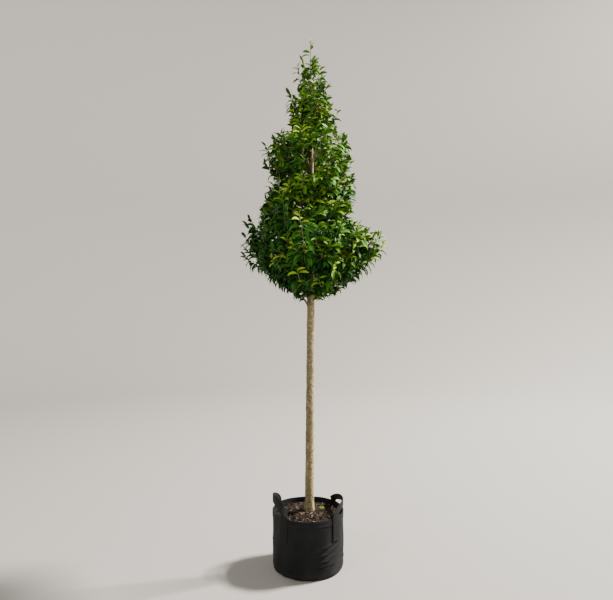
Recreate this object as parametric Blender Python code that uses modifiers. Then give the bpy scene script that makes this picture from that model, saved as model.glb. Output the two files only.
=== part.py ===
"""Potted standard photinia: a clear-stemmed evergreen tree in a black fabric tree bag.

Metres, +Z up. The origin is the centre of the bag's flat underside, and -Y is the front.
Azimuths are in degrees from +X, turning towards +Y. The trunk runs whole up through the crown
to its leading shoot. Boughs rise from it in tiers and each carries one mass of foliage; the
upper masses grow straight from the trunk.
"""

import math
import random
from dataclasses import dataclass

import bmesh
import bpy
from mathutils import Matrix, Vector
from mathutils.bvhtree import BVHTree
from mathutils.kdtree import KDTree

TREE = "potted_photinia"
GAP = 0.0003  # left between parts that meet
WELD = 1e-6  # joins a limb's caps to its sides
FLAT = 1.0  # degrees: faces that meet at less than this become one

# Bag: a turned fabric shell with a folded hem
BAG_RADIUS = 0.1885
BAG_HEIGHT = 0.305
BAG_WALL = 0.003
BAG_FOOT_ROUND = 0.022
HEM_DEPTH = 0.035
HEM_PROUD = 0.0012
TURNED_SIDES = 40

# Handles: webbing sewn to the bag's side at two legs, looping over the rim and leaning in
HANDLES = {"handle_right": 0.0, "handle_left": 188.0}
STRAP_WIDTH = 0.040
STRAP_THICKNESS = 0.0025
LEG_SPREAD = 42.0  # degrees from the handle's middle to each leg
LEG_FOOT = 0.186  # height of the sewn ends
LOOP_RISE = 0.056  # middle of the strap above the rim, measured along the strap's face
LEAN_START = -15.0  # degrees from the handle's middle where the loop begins to lean in
LEAN_GROWTH = 1.0  # degrees of lean for each degree round the bag from there
LEAN_EASE = 0.012  # height over which the lean sets in above the rim
STRAP_STEPS = 24
STRAP_COLUMNS = 4
STRAP_RADIUS = BAG_RADIUS + HEM_PROUD + 1.5 * GAP + 0.5 * STRAP_THICKNESS

# Compost and mulch filling the bag, heaped round the trunk
SOIL_EDGE = 0.268
SOIL_TOP = 0.297
SOIL_HEAP_RADIUS = 0.036

# Trunk: height and radius, from the flared foot up to where the leading shoot takes over
TRUNK_FOOT = SOIL_TOP + GAP
TRUNK_TOP = 2.61
TRUNK_STATIONS = (
    (0.000, 0.0275),
    (0.020, 0.0258),
    (0.055, 0.0243),
    (0.160, 0.0232),
    (0.500, 0.0220),
    (1.120, 0.0205),
    (1.320, 0.0190),
    (1.500, 0.0170),
    (1.840, 0.0140),
    (2.010, 0.0098),
    (2.160, 0.0066),
    (2.313, 0.0045),
)
TRUNK_X = 0.008
TRUNK_LEAN = 0.005  # sideways drift from foot to top
TRUNK_BOW = 0.006  # how far the middle of the crown stands off that line
TRUNK_RINGS = 16
TRUNK_SIDES = 12
TOP_HEIGHT = 2.836

# Crown outline: height, reach to the left and reach to the right of the trunk
CROWN_OUTLINE = (
    (1.400, 0.070, 0.070),
    (1.430, 0.140, 0.150),
    (1.470, 0.200, 0.240),
    (1.530, 0.255, 0.300),
    (1.600, 0.335, 0.345),
    (1.660, 0.375, 0.365),
    (1.720, 0.375, 0.400),
    (1.770, 0.372, 0.424),
    (1.820, 0.372, 0.368),
    (1.890, 0.340, 0.255),
    (1.960, 0.265, 0.245),
    (2.060, 0.252, 0.245),
    (2.170, 0.268, 0.240),
    (2.270, 0.245, 0.215),
    (2.350, 0.190, 0.195),
    (2.440, 0.158, 0.165),
    (2.540, 0.130, 0.125),
    (2.650, 0.095, 0.085),
    (2.760, 0.062, 0.050),
    (TOP_HEIGHT, 0.025, 0.025),
)


@dataclass(frozen=True)
class Tier:
    """Masses of foliage in one band of the crown, stepping round and up the trunk."""

    name: str
    count: int
    first: float  # azimuth of the first mass
    step: float  # azimuth from each to the next
    root: float  # height where the first leaves the trunk
    tip: float  # height of the first one's stem tip
    rise: float  # height from each to the next
    bough: tuple  # reach and lift of the bough that carries it, or none
    twigs: int
    leaves: int
    leaf_size: float


TIERS = (
    Tier("lower", 6, 180.0, -60.0, 1.365, 1.715, 0.015, (0.065, 0.088), 5, 38, 1.00),
    Tier("middle", 5, 212.0, 144.0, 1.600, 1.980, 0.016, (0.065, 0.110), 4, 28, 0.92),
    Tier("upper", 4, 165.0, 90.0, 1.830, 2.230, 0.020, (0.055, 0.105), 4, 24, 0.86),
    Tier("high", 4, 120.0, 90.0, 2.070, 2.430, 0.020, (), 3, 20, 0.74),
    Tier("crest", 3, 0.0, 120.0, 2.320, 2.612, 0.025, (), 2, 15, 0.58),
    Tier("leading_shoot", 1, 0.0, 0.0, TRUNK_TOP, TOP_HEIGHT - 0.054, 0.0, (), 2, 13, 0.50),
)
BOUGH_RADIUS = 0.0055  # at the trunk, on the lowest bough
BOUGH_LEAST_RADIUS = 0.0034
BOUGH_THINNING = 0.93  # from one bough to the next
BOUGH_TAPER = 0.62
BOUGH_SIDES = 6
BOUGH_RINGS = 5

# Twigs and leaves
TWIG_SIDES = 3
STEM_RADIUS = 0.0040
STEM_TAPER = 0.55
STEM_RINGS = 5
COLLAR = 0.004  # straight start of a stem, square to the limb it meets
TWIG_RADIUS = 0.0028
TWIG_TAPER = 0.5
TWIG_RINGS = 3
LEAF_LENGTH = 0.125
LEAF_WIDTH = 0.058
LEAF_THICKNESS = 0.0016
LEAF_WIDEST = 0.45  # part of the length from the root
LEAF_FOLD = 0.007  # how far the edges stand above the rib
LEAF_DROOP = 0.030  # how far the tip curls down
LEAF_SUNK = 0.0003  # root past the twig's middle
LEAFY_SHARE = 0.92  # part of a twig that bears leaves, from its tip
SPIRAL = 137.5  # degrees round the twig from one leaf to the next
SIDE_SAG = 0.6  # how much a side leaf turns down
TIP_SAG = 0.1
OUTER_SHELL = 0.055  # twig ends stay this far inside the outline, for the leaves
TARGET_DRAWS = 900
TARGET_SPREAD = 70.0  # degrees either side of a mass's azimuth
ROOM = 0.0015  # from a mass to the border of its space
LIMB_ROOM = 0.0012
SPINE_POINTS = 40
SEED = 41


def leaf_tries(turns, flares):
    """Turns about the twig and angles from it, in the order in which a leaf tries them."""
    return [(turn, flare) for flare in flares for turn in turns]


SIDE_TRIES = leaf_tries(
    [side * turn for turn in range(0, 180, 30) for side in (1, -1)], (62.0, 40.0, 85.0)
)
TIP_TRIES = leaf_tries(range(0, 360, 60), (22.0, 10.0, 35.0))
SIDE_SLIDES = [(slide, size) for size in (1.0, 0.8, 0.62) for slide in (0.0, 0.3, -0.3)]
TIP_SIZES = (0.95, 0.85, 0.75, 0.65, 0.55)

COLOURS = {
    "bag": ((0.020, 0.021, 0.022), 0.85),
    "handle": ((0.016, 0.017, 0.018), 0.80),
    "soil": ((0.085, 0.052, 0.034), 0.95),
    "trunk": ((0.260, 0.215, 0.135), 0.80),
    "bough": ((0.220, 0.180, 0.110), 0.80),
    "foliage": ((0.045, 0.130, 0.022), 0.45),
}


def clear_scene():
    for old in list(bpy.data.objects):
        bpy.data.objects.remove(old)


def new_collection(name):
    made = bpy.data.collections.new(name)
    bpy.context.scene.collection.children.link(made)
    return made


def material(name):
    """The Principled material of a kind of part, named for that part."""
    colour, roughness = COLOURS[name]
    made = bpy.data.materials.get(name) or bpy.data.materials.new(name)
    made.use_nodes = True
    shader = made.node_tree.nodes["Principled BSDF"]
    shader.inputs["Base Color"].default_value = (*colour, 1.0)
    shader.inputs["Roughness"].default_value = roughness
    made.diffuse_color = (*colour, 1.0)
    return made


def polar(radius, azimuth, height):
    turn = math.radians(azimuth)
    return Vector((radius * math.cos(turn), radius * math.sin(turn), height))


def between(stations, at):
    """Values at a height, read from rows of (height, value, ...) that rise."""
    for low, high in zip(stations, stations[1:]):
        if at <= high[0]:
            share = max(0.0, (at - low[0]) / (high[0] - low[0]))
            return [a + (b - a) * share for a, b in zip(low[1:], high[1:])]
    return list(stations[-1][1:])


def trunk_radius(height):
    return between(TRUNK_STATIONS, height - TRUNK_FOOT)[0]


def trunk_centre(height):
    """The trunk's middle: a slow lean to the right with a slight bow in the crown."""
    share = min(1.0, (height - TRUNK_FOOT) / (TRUNK_TOP - TRUNK_FOOT))
    bow = TRUNK_BOW * math.sin(math.pi * share**1.6)
    return Vector((TRUNK_X + TRUNK_LEAN * share + bow, 0.5 * bow, height))


def crown_reach(azimuth, height):
    """How far the crown's outline stands from the trunk's middle."""
    if not CROWN_OUTLINE[0][0] <= height <= TOP_HEIGHT:
        return 0.0
    left, right = between(CROWN_OUTLINE, height)
    share = 0.5 + 0.5 * math.cos(math.radians(azimuth))
    return left + (right - left) * share


def in_crown(point):
    offset = point - trunk_centre(point.z)
    azimuth = math.degrees(math.atan2(offset.y, offset.x))
    return math.hypot(offset.x, offset.y) <= crown_reach(azimuth, point.z)


def curve_through(start, bend, end, count):
    """Points of a quadratic curve that leaves start towards bend and arrives at end."""
    points = []
    for i in range(count):
        t = i / (count - 1)
        points.append(start * (1 - t) ** 2 + bend * 2 * t * (1 - t) + end * t**2)
    return points


def point_along(points, share):
    """The place and direction at a share of the way along a path."""
    at = share * (len(points) - 1)
    i = min(int(at), len(points) - 2)
    place = points[i].lerp(points[i + 1], at - i)
    return place, (points[i + 1] - points[i]).normalized()


# Building blocks


def tidy_mesh(mesh):
    """Keeps the largest closed body, with no loose scrap or sealed hollow."""
    work = bmesh.new()
    work.from_mesh(mesh)
    bmesh.ops.dissolve_limit(
        work, angle_limit=math.radians(FLAT), verts=work.verts, edges=work.edges
    )
    bmesh.ops.triangulate(work, faces=work.faces)
    left = set(work.verts)
    bodies = []
    while left:
        body = {left.pop()}
        edge = list(body)
        while edge:
            near = {e.other_vert(v) for v in edge for e in v.link_edges} - body
            body |= near
            edge = list(near)
        left -= body
        bodies.append(body)
    keep = max(bodies, key=len)
    bmesh.ops.delete(work, geom=[v for v in work.verts if v not in keep], context="VERTS")
    work.to_mesh(mesh)
    work.free()


def baked(shape):
    """The mesh of an object as its modifiers or its curve leave it."""
    bpy.context.view_layer.update()
    evaluated = shape.evaluated_get(bpy.context.evaluated_depsgraph_get())
    return bpy.data.meshes.new_from_object(evaluated)


def add_object(name, mesh, collection):
    made = bpy.data.objects.new(name, mesh)
    collection.objects.link(made)
    return made


def finish_part(part, kind, smooth_angle=None):
    part.data.materials.clear()
    part.data.materials.append(material(kind))
    if smooth_angle is not None:
        part.data.shade_smooth()
        part.data.set_sharp_from_angle(angle=math.radians(smooth_angle))
    return part


def section(sides):
    """A round section of unit radius that limbs are swept from."""
    name = f"section_{sides}"
    if name in bpy.data.objects:
        return bpy.data.objects[name]
    outline = bpy.data.curves.new(name, "CURVE")
    outline.dimensions = "2D"
    ring = outline.splines.new("POLY")
    ring.points.add(sides - 1)
    ring.use_cyclic_u = True
    for i, point in enumerate(ring.points):
        point.co = (*polar(1.0, 360.0 * i / sides, 0.0), 1.0)
    made = add_object(name, outline, guides)
    made.hide_render = True
    made.display_type = "WIRE"
    return made


def tapered(radius, taper, points):
    """A radius at each point, falling evenly to the taper's share of it."""
    last = len(points) - 1
    return [radius * (1 - (1 - taper) * i / last) for i in range(last + 1)]


def limb(name, points, radii, sides, collection=None):
    """A tapering tube with flat ends through points."""
    collection = collection or parts
    path = bpy.data.curves.new(name, "CURVE")
    path.dimensions = "3D"
    path.bevel_mode = "OBJECT"
    path.bevel_object = section(sides)
    path.use_fill_caps = True
    spline = path.splines.new("POLY")
    spline.points.add(len(points) - 1)
    for knot, place, radius in zip(spline.points, points, radii):
        knot.co = (*place, 1.0)
        knot.radius = radius
    swept = add_object(name, path, collection)
    mesh = baked(swept)
    bpy.data.objects.remove(swept)
    bpy.data.curves.remove(path)
    work = bmesh.new()
    work.from_mesh(mesh)
    bmesh.ops.remove_doubles(work, verts=work.verts, dist=WELD)
    bmesh.ops.triangulate(work, faces=work.faces)
    bmesh.ops.recalc_face_normals(work, faces=work.faces)
    work.to_mesh(mesh)
    work.free()
    return add_object(name, mesh, collection)


def with_boolean(part, operation, **operand):
    """Applies one Boolean to a part."""
    cut = part.modifiers.new("join", "BOOLEAN")
    cut.operation = operation
    cut.solver = "EXACT"
    for key, value in operand.items():
        setattr(cut, key, value)
    mesh = baked(part)
    part.modifiers.clear()
    part.data = mesh
    tidy_mesh(part.data)


def search_tree(shape):
    """A search tree of an object's faces, for an object that stands unmoved."""
    points = [v.co for v in shape.data.vertices]
    return BVHTree.FromPolygons(points, [tuple(f.vertices) for f in shape.data.polygons])


def clear(tree, others):
    return not any(tree.overlap(other) for other in others)


# Bag, handles and soil


def turned(name, profile, kind):
    """A closed solid of revolution from (radius, height) pairs."""
    mesh = bpy.data.meshes.new(name)
    mesh.from_pydata(
        [(r, 0.0, z) for r, z in profile],
        [(i, i + 1) for i in range(len(profile) - 1)],
        [],
    )
    part = add_object(name, mesh, parts)
    spin = part.modifiers.new("turn", "SCREW")
    spin.steps = TURNED_SIDES
    spin.render_steps = TURNED_SIDES
    spin.use_merge_vertices = True
    spin.merge_threshold = 0.00005
    return finish_part(part, kind)


def rounded_foot(radius, height, steps):
    """Profile points of the bag's rounded bottom edge, from the side to the underside."""
    points = []
    for i in range(steps + 1):
        turn = math.radians(90.0 * i / steps)
        points.append(
            (
                radius - height + height * math.cos(turn),
                height - height * math.sin(turn),
            )
        )
    return points


def make_bag():
    inner = BAG_RADIUS - BAG_WALL
    hem = BAG_RADIUS + HEM_PROUD
    inside = [(r, z + BAG_WALL) for r, z in rounded_foot(inner, BAG_FOOT_ROUND - BAG_WALL, 2)]
    profile = [(0.0, BAG_WALL)]
    profile += reversed(inside)
    profile += [
        (inner, BAG_HEIGHT),
        (hem, BAG_HEIGHT),
        (hem, BAG_HEIGHT - HEM_DEPTH),
        (BAG_RADIUS, BAG_HEIGHT - HEM_DEPTH - HEM_PROUD),
    ]
    profile += rounded_foot(BAG_RADIUS, BAG_FOOT_ROUND, 3)
    profile.append((0.0, 0.0))
    return turned("bag", profile, "bag")


def make_soil():
    radius = BAG_RADIUS - BAG_WALL - GAP
    foot = rounded_foot(radius, BAG_FOOT_ROUND - BAG_WALL, 2)
    middle = 0.5 * (radius + SOIL_HEAP_RADIUS)
    profile = [
        (0.0, SOIL_TOP),
        (SOIL_HEAP_RADIUS, SOIL_TOP),
        (middle, 0.5 * (SOIL_TOP + SOIL_EDGE) + 0.003),
        (radius, SOIL_EDGE),
    ]
    profile += [(r, z + BAG_WALL + GAP) for r, z in foot]
    profile.append((0.0, BAG_WALL + GAP))
    return turned("soil", profile, "soil")


def strap_line(share):
    """The strap's middle laid flat: run round the bag and height above the rim, with the
    direction along it, from the foot of one leg over to the other."""
    half = math.radians(LEG_SPREAD) * STRAP_RADIUS
    leg = BAG_HEIGHT - LEG_FOOT
    arch = math.pi * math.sqrt(0.5 * (half**2 + LOOP_RISE**2))
    run = share * (2 * leg + arch)
    if run <= leg:
        return Vector((-half, run - leg)), Vector((0.0, 1.0))
    if run >= leg + arch:
        return Vector((half, leg + arch - run)), Vector((0.0, -1.0))
    turn = math.pi * (run - leg) / arch
    along = Vector((half * math.sin(turn), LOOP_RISE * math.cos(turn)))
    return Vector((-half * math.cos(turn), LOOP_RISE * math.sin(turn))), along.normalized()


def strap_point(azimuth, share, across):
    """A point of the strap's middle surface, across its width from -1 to 1."""
    middle, along = strap_line(share)
    flat = middle + Vector((along.y, -along.x)) * (0.5 * STRAP_WIDTH * across)
    turn = math.degrees(flat.x / STRAP_RADIUS)
    rise = max(0.0, flat.y)
    lean = math.radians(LEAN_GROWTH * max(0.0, turn - LEAN_START))
    leaning = rise**2 / (rise + LEAN_EASE)
    height = BAG_HEIGHT + flat.y - leaning * (1.0 - math.cos(lean))
    return polar(STRAP_RADIUS - leaning * math.sin(lean), azimuth + turn, height)


def make_handle(name, azimuth):
    work = bmesh.new()
    bmesh.ops.create_grid(work, x_segments=STRAP_STEPS, y_segments=STRAP_COLUMNS, size=1.0)
    for corner in work.verts:
        corner.co = strap_point(azimuth, 0.5 + 0.5 * corner.co.x, corner.co.y)
    mesh = bpy.data.meshes.new(name)
    work.to_mesh(mesh)
    work.free()
    part = add_object(name, mesh, parts)
    thick = part.modifiers.new("webbing", "SOLIDIFY")
    thick.thickness = STRAP_THICKNESS
    thick.offset = 0.0
    return finish_part(part, "handle")


# Trunk, boughs and foliage


def trunk_points():
    """The trunk's middle at its stations, with more between those that stand far apart."""
    heights = [z + TRUNK_FOOT for z, _ in TRUNK_STATIONS]
    spacing = (TRUNK_TOP - TRUNK_FOOT) / TRUNK_RINGS
    for i in range(1, TRUNK_RINGS):
        height = TRUNK_FOOT + i * spacing
        if min(abs(height - other) for other in heights) > 0.4 * spacing:
            heights.append(height)
    return [trunk_centre(z) for z in sorted(heights)]


def make_trunk(name, collection=None, grow=0.0):
    points = trunk_points()
    radii = [trunk_radius(place.z) + grow for place in points]
    return limb(name, points, radii, TRUNK_SIDES, collection)


class Mass:
    """One mass of foliage: the bough that carries it, its stem and its space in the crown."""

    def __init__(self, tier, index, order):
        suffix = f"{tier.name}_{index + 1}" if tier.count > 1 else tier.name
        self.name = f"foliage_{suffix}"
        self.bough_name = f"bough_{suffix}"
        self.tier = tier
        self.order = order
        self.azimuth = tier.first + tier.step * index
        self.random = random.Random(SEED + order)
        root = trunk_centre(tier.root + tier.rise * index)
        tip = self.stem_tip(tier.tip + tier.rise * index)
        self.bough = []
        if tier.bough:
            reach, lift = tier.bough
            end = root + polar(reach, self.azimuth, lift)
            bend = root + polar(0.35 * reach, self.azimuth, 0.55 * lift)
            self.bough = curve_through(root, bend, end, BOUGH_RINGS)
        self.stem = self.stem_path(root, tip)
        self.spine = KDTree(SPINE_POINTS)
        for i in range(SPINE_POINTS):
            self.spine.insert(point_along(self.stem, i / (SPINE_POINTS - 1))[0], i)
        self.spine.balance()

    def stem_tip(self, height):
        if self.tier.root == TRUNK_TOP:
            return trunk_centre(height)
        reach = crown_reach(self.azimuth, height) - OUTER_SHELL * self.tier.leaf_size
        return trunk_centre(height) + polar(reach, self.azimuth, 0.0)

    def stem_path(self, root, tip):
        """From the end of the limb below, square to it, or from inside the trunk's side."""
        limb_below = self.bough or (trunk_points() if self.tier.root == TRUNK_TOP else [])
        collar = []
        start = root
        if limb_below:
            aim = (limb_below[-1] - limb_below[-2]).normalized()
            collar = [limb_below[-1] + aim * GAP]
            start = collar[0] + aim * COLLAR
        out = (tip - start) * 0.5
        bend = start + Vector((out.x * 1.15, out.y * 1.15, out.z * 0.75))
        return collar + curve_through(start, bend, tip, STEM_RINGS)

    def owns(self, point):
        """Whether a point is in the crown and nearer to this stem than to any other."""
        if not in_crown(point):
            return False
        own = self.spine.find(point)[2] + 2 * ROOM
        return all(own <= other.spine.find(point)[2] for other in masses if other is not self)

    def twig_targets(self):
        """Well-spread places near the crown's outline, in the mass's own space."""
        found = []
        low = self.stem[0].z - 0.12
        high = self.stem[-1].z + 0.10
        for _ in range(TARGET_DRAWS):
            height = self.random.uniform(low, high)
            azimuth = self.azimuth + self.random.uniform(-TARGET_SPREAD, TARGET_SPREAD)
            depth = self.random.uniform(0.7, 1.4) * OUTER_SHELL * self.tier.leaf_size
            reach = crown_reach(azimuth, height) - depth
            point = trunk_centre(height) + polar(reach, azimuth, 0.0)
            if reach > 0.02 and self.owns(point):
                found.append(point)
        chosen = [self.stem[-1]]
        while found and len(chosen) <= self.tier.twigs:
            best = max(found, key=lambda p: min((p - q).length for q in chosen))
            chosen.append(best)
            found.remove(best)
        return chosen[1:]

    def twig_path(self, target):
        """A curve that leaves the stem below its target and bends up and out to it."""
        choices = []
        for i in range(2, 19):
            place, along = point_along(self.stem, i / 20)
            reach = target - place
            choices.append((reach.length * (1.6 - reach.normalized().dot(along)), i / 20))
        place, along = point_along(self.stem, min(choices)[1])
        bend = place + along * (target - place).length * 0.35
        return curve_through(place, bend.lerp(target, 0.25), target, TWIG_RINGS)


def make_bough(mass):
    radius = max(BOUGH_RADIUS * BOUGH_THINNING**mass.order, BOUGH_LEAST_RADIUS)
    bough = limb(mass.bough_name, mass.bough, tapered(radius, BOUGH_TAPER, mass.bough), BOUGH_SIDES)
    with_boolean(bough, "DIFFERENCE", object=bpy.data.objects["trunk_cutter"])
    return finish_part(bough, "bough", 40)


def leaf_mesh():
    """An eight-faced leaf along +Z, folded at its rib, with its tip curled towards -Y."""
    work = bmesh.new()
    bmesh.ops.create_uvsphere(work, u_segments=4, v_segments=2, radius=1.0)
    for corner in work.verts:
        x, y, z = corner.co
        if z > 0.5:
            corner.co = (0.0, -LEAF_DROOP, LEAF_LENGTH)
        elif z < -0.5:
            corner.co = (0.0, 0.0, 0.0)
        else:
            fold = abs(x) * LEAF_FOLD
            corner.co = (
                x * 0.5 * LEAF_WIDTH,
                y * 0.5 * LEAF_THICKNESS + fold,
                LEAF_LENGTH * LEAF_WIDEST,
            )
    mesh = bpy.data.meshes.new("leaf")
    work.to_mesh(mesh)
    work.free()
    return mesh


def leaf_matrix(root, direction, size):
    """Places a leaf at root, pointing along direction, with its upper face to the sky."""
    across = direction.cross(Vector((0.0, 0.0, 1.0))).normalized()
    face = direction.cross(across)
    if face.z < 0:
        across, face = -across, -face
    turn = Matrix((across, face, direction)).transposed().to_4x4()
    place = Matrix.Translation(root - direction * LEAF_SUNK)
    return place @ turn @ Matrix.Scale(size, 4)


class Spray:
    """The twigs and leaves of one mass while they are gathered for its union."""

    def __init__(self, mass, leaf, limbs):
        self.mass = mass
        self.leaf = leaf
        self.leaf_faces = [tuple(face.vertices) for face in leaf.polygons]
        self.limbs = limbs
        self.pieces = new_collection("joined")
        self.lines = [mass.stem]
        radii = tapered(STEM_RADIUS, STEM_TAPER, mass.stem)
        self.stem = limb(mass.name, mass.stem, radii, TWIG_SIDES)
        if mass.tier.root < TRUNK_TOP and not mass.bough:
            with_boolean(self.stem, "DIFFERENCE", object=bpy.data.objects["trunk_cutter"])
        self.rods = [search_tree(self.stem)]
        self.leaves = []

    def add_twig(self, path):
        radii = tapered(TWIG_RADIUS, TWIG_TAPER, path)
        twig = limb("twig", path, radii, TWIG_SIDES, self.pieces)
        tree = search_tree(twig)
        if all(self.mass.owns(place) for place in path[1:]) and clear(tree, self.limbs):
            self.lines.append(path)
            self.rods.append(tree)
        else:
            bpy.data.objects.remove(twig)

    def add_leaf(self, line, share, turn, size, tries, sag):
        """Fuses one leaf on, at the first try that keeps to the space and touches nothing."""
        place, along = point_along(self.lines[line], share)
        side = along.orthogonal().normalized()
        others = self.limbs + self.leaves + [rod for i, rod in enumerate(self.rods) if i != line]
        for nudge, flare in tries:
            out = Matrix.Rotation(math.radians(turn + nudge), 3, along) @ side
            flare = math.radians(flare)
            direction = along * math.cos(flare) + out * math.sin(flare)
            direction.z -= sag
            matrix = leaf_matrix(place, direction.normalized(), size * self.mass.tier.leaf_size)
            corners = [matrix @ v.co for v in self.leaf.vertices]
            if not all(self.mass.owns(corner) for corner in corners):
                continue
            tree = BVHTree.FromPolygons(corners, self.leaf_faces)
            if clear(tree, others):
                add_object("leaf", self.leaf, self.pieces).matrix_world = matrix
                self.leaves.append(tree)
                return True
        return False

    def add_leaves(self):
        """One leaf at each twig's tip and the rest in a spiral down it."""
        draw = self.mass.random.uniform
        lengths = [sum((b - a).length for a, b in zip(line, line[1:])) for line in self.lines]
        for line, length in enumerate(lengths):
            count = max(2, round(self.mass.tier.leaves * length / sum(lengths)))
            turn = draw(0.0, 360.0)
            for size in TIP_SIZES:
                if self.add_leaf(line, 0.985, turn, size, TIP_TRIES, TIP_SAG):
                    break
            for i in range(1, count):
                turn += SPIRAL
                scale = draw(0.90, 1.08)
                for slide, size in SIDE_SLIDES:
                    share = 1.0 - LEAFY_SHARE * (i + 0.35 + slide) / count
                    if self.add_leaf(line, share, turn, scale * size, SIDE_TRIES, SIDE_SAG):
                        break

    def join(self):
        with_boolean(self.stem, "UNION", operand_type="COLLECTION", collection=self.pieces)
        for piece in list(self.pieces.objects):
            bpy.data.objects.remove(piece)
        bpy.data.collections.remove(self.pieces)
        return finish_part(self.stem, "foliage")


def make_mass(mass, leaf, limbs):
    """Grows one mass: a stem, its twigs and their leaves, joined in one union."""
    spray = Spray(mass, leaf, limbs)
    for target in mass.twig_targets():
        spray.add_twig(mass.twig_path(target))
    spray.add_leaves()
    return spray.join()


def trunk_guide(name, grow):
    """A slightly thicker copy of the trunk that other limbs keep clear of."""
    guide = make_trunk(name, guides, grow)
    guide.hide_render = True
    guide.display_type = "WIRE"
    return guide


def make_crown():
    """Boughs first, then each mass clear of them and of the masses before it."""
    trunk_guide("trunk_cutter", GAP)
    solids = [trunk_guide("trunk_room", LIMB_ROOM)]
    solids += [make_bough(mass) for mass in masses if mass.bough]
    limbs = [search_tree(solid) for solid in solids]
    leaf = leaf_mesh()
    for mass in masses:
        limbs.append(search_tree(make_mass(mass, leaf, limbs)))


clear_scene()
parts = new_collection(TREE)
guides = new_collection("guides")
masses = []
for tier in TIERS:
    for index in range(tier.count):
        masses.append(Mass(tier, index, len(masses)))

make_bag()
make_soil()
for handle_name, handle_azimuth in HANDLES.items():
    make_handle(handle_name, handle_azimuth)
finish_part(make_trunk("trunk"), "trunk", 40)
make_crown()
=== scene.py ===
"""Looks of the potted standard photinia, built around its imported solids.

Metres, +Z up, with the front towards -Y. The crown grows by the same rule as the solids: boughs
rise from the trunk in tiers, each mass has one stem and keeps to its own space, and twigs reach
for places near the crown's outline. Here the rule goes on to finer shoots, and to leaves of their
real size.
"""

import math
import random
from dataclasses import dataclass

import bpy
import numpy as np
from mathutils import Matrix, Vector, noise
from mathutils.kdtree import KDTree


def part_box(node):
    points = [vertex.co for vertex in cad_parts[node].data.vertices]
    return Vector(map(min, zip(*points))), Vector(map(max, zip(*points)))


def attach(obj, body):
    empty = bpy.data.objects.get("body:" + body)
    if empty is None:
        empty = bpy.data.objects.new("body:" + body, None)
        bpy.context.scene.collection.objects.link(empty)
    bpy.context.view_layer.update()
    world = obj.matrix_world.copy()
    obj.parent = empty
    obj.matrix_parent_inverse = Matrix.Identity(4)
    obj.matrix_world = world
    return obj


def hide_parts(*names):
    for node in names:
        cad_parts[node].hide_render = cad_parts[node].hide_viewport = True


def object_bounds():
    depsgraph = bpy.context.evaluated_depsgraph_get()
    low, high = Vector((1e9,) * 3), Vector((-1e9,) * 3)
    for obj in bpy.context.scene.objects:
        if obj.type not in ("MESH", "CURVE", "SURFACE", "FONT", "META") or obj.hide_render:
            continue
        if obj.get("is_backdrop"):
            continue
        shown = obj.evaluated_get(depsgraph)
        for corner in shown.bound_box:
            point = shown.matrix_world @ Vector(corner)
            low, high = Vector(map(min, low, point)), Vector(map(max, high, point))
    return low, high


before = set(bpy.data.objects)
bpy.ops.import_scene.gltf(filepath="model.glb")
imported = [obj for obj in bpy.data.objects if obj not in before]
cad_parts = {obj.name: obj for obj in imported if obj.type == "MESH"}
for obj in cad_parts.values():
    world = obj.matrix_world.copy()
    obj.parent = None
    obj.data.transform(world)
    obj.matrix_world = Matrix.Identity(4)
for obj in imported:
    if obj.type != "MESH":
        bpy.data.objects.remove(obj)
CAD_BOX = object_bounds()
UP = Vector((0.0, 0.0, 1.0))

# Camera: level, square on to the front, at the photograph's distance
CAMERA_AT = (-0.008, -3.02, 1.42)
CAMERA_LENS = 33.1

# Bag: its radius and height are those of its solid
BAG_LOW, BAG_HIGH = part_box("bag")
HEM_PROUD = 0.0012
BAG_RADIUS = 0.5 * (BAG_HIGH.x - BAG_LOW.x) - HEM_PROUD
BAG_HEIGHT = BAG_HIGH.z
BAG_WALL = 0.003
BAG_FOOT_ROUND = 0.022
HEM_DEPTH = 0.035

# Handles: the same straps as the solids
HANDLES = {"handle_right": 0.0, "handle_left": 188.0}
STRAP_WIDTH = 0.040
STRAP_THICKNESS = 0.0025
LEG_SPREAD = 42.0
LEG_FOOT = 0.186
LOOP_RISE = 0.056
LEAN_START = -15.0
LEAN_GROWTH = 1.0
LEAN_EASE = 0.012
STRAP_GAP = 0.00045
STRAP_RADIUS = BAG_RADIUS + HEM_PROUD + STRAP_GAP + 0.5 * STRAP_THICKNESS

# Soil
SOIL_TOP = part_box("soil")[1].z
SOIL_EDGE = 0.268
SOIL_HEAP_RADIUS = 0.036

# Trunk: height above its foot and radius
TRUNK_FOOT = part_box("trunk")[0].z
TRUNK_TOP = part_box("trunk")[1].z
TRUNK_STATIONS = (
    (0.000, 0.0275),
    (0.020, 0.0258),
    (0.055, 0.0243),
    (0.160, 0.0232),
    (0.500, 0.0220),
    (1.120, 0.0205),
    (1.320, 0.0190),
    (1.500, 0.0170),
    (1.840, 0.0140),
    (2.010, 0.0098),
    (2.160, 0.0066),
    (2.313, 0.0045),
)
TRUNK_X = 0.008
TRUNK_LEAN = 0.005
TRUNK_BOW = 0.006
TOP_HEIGHT = 2.836

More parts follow.
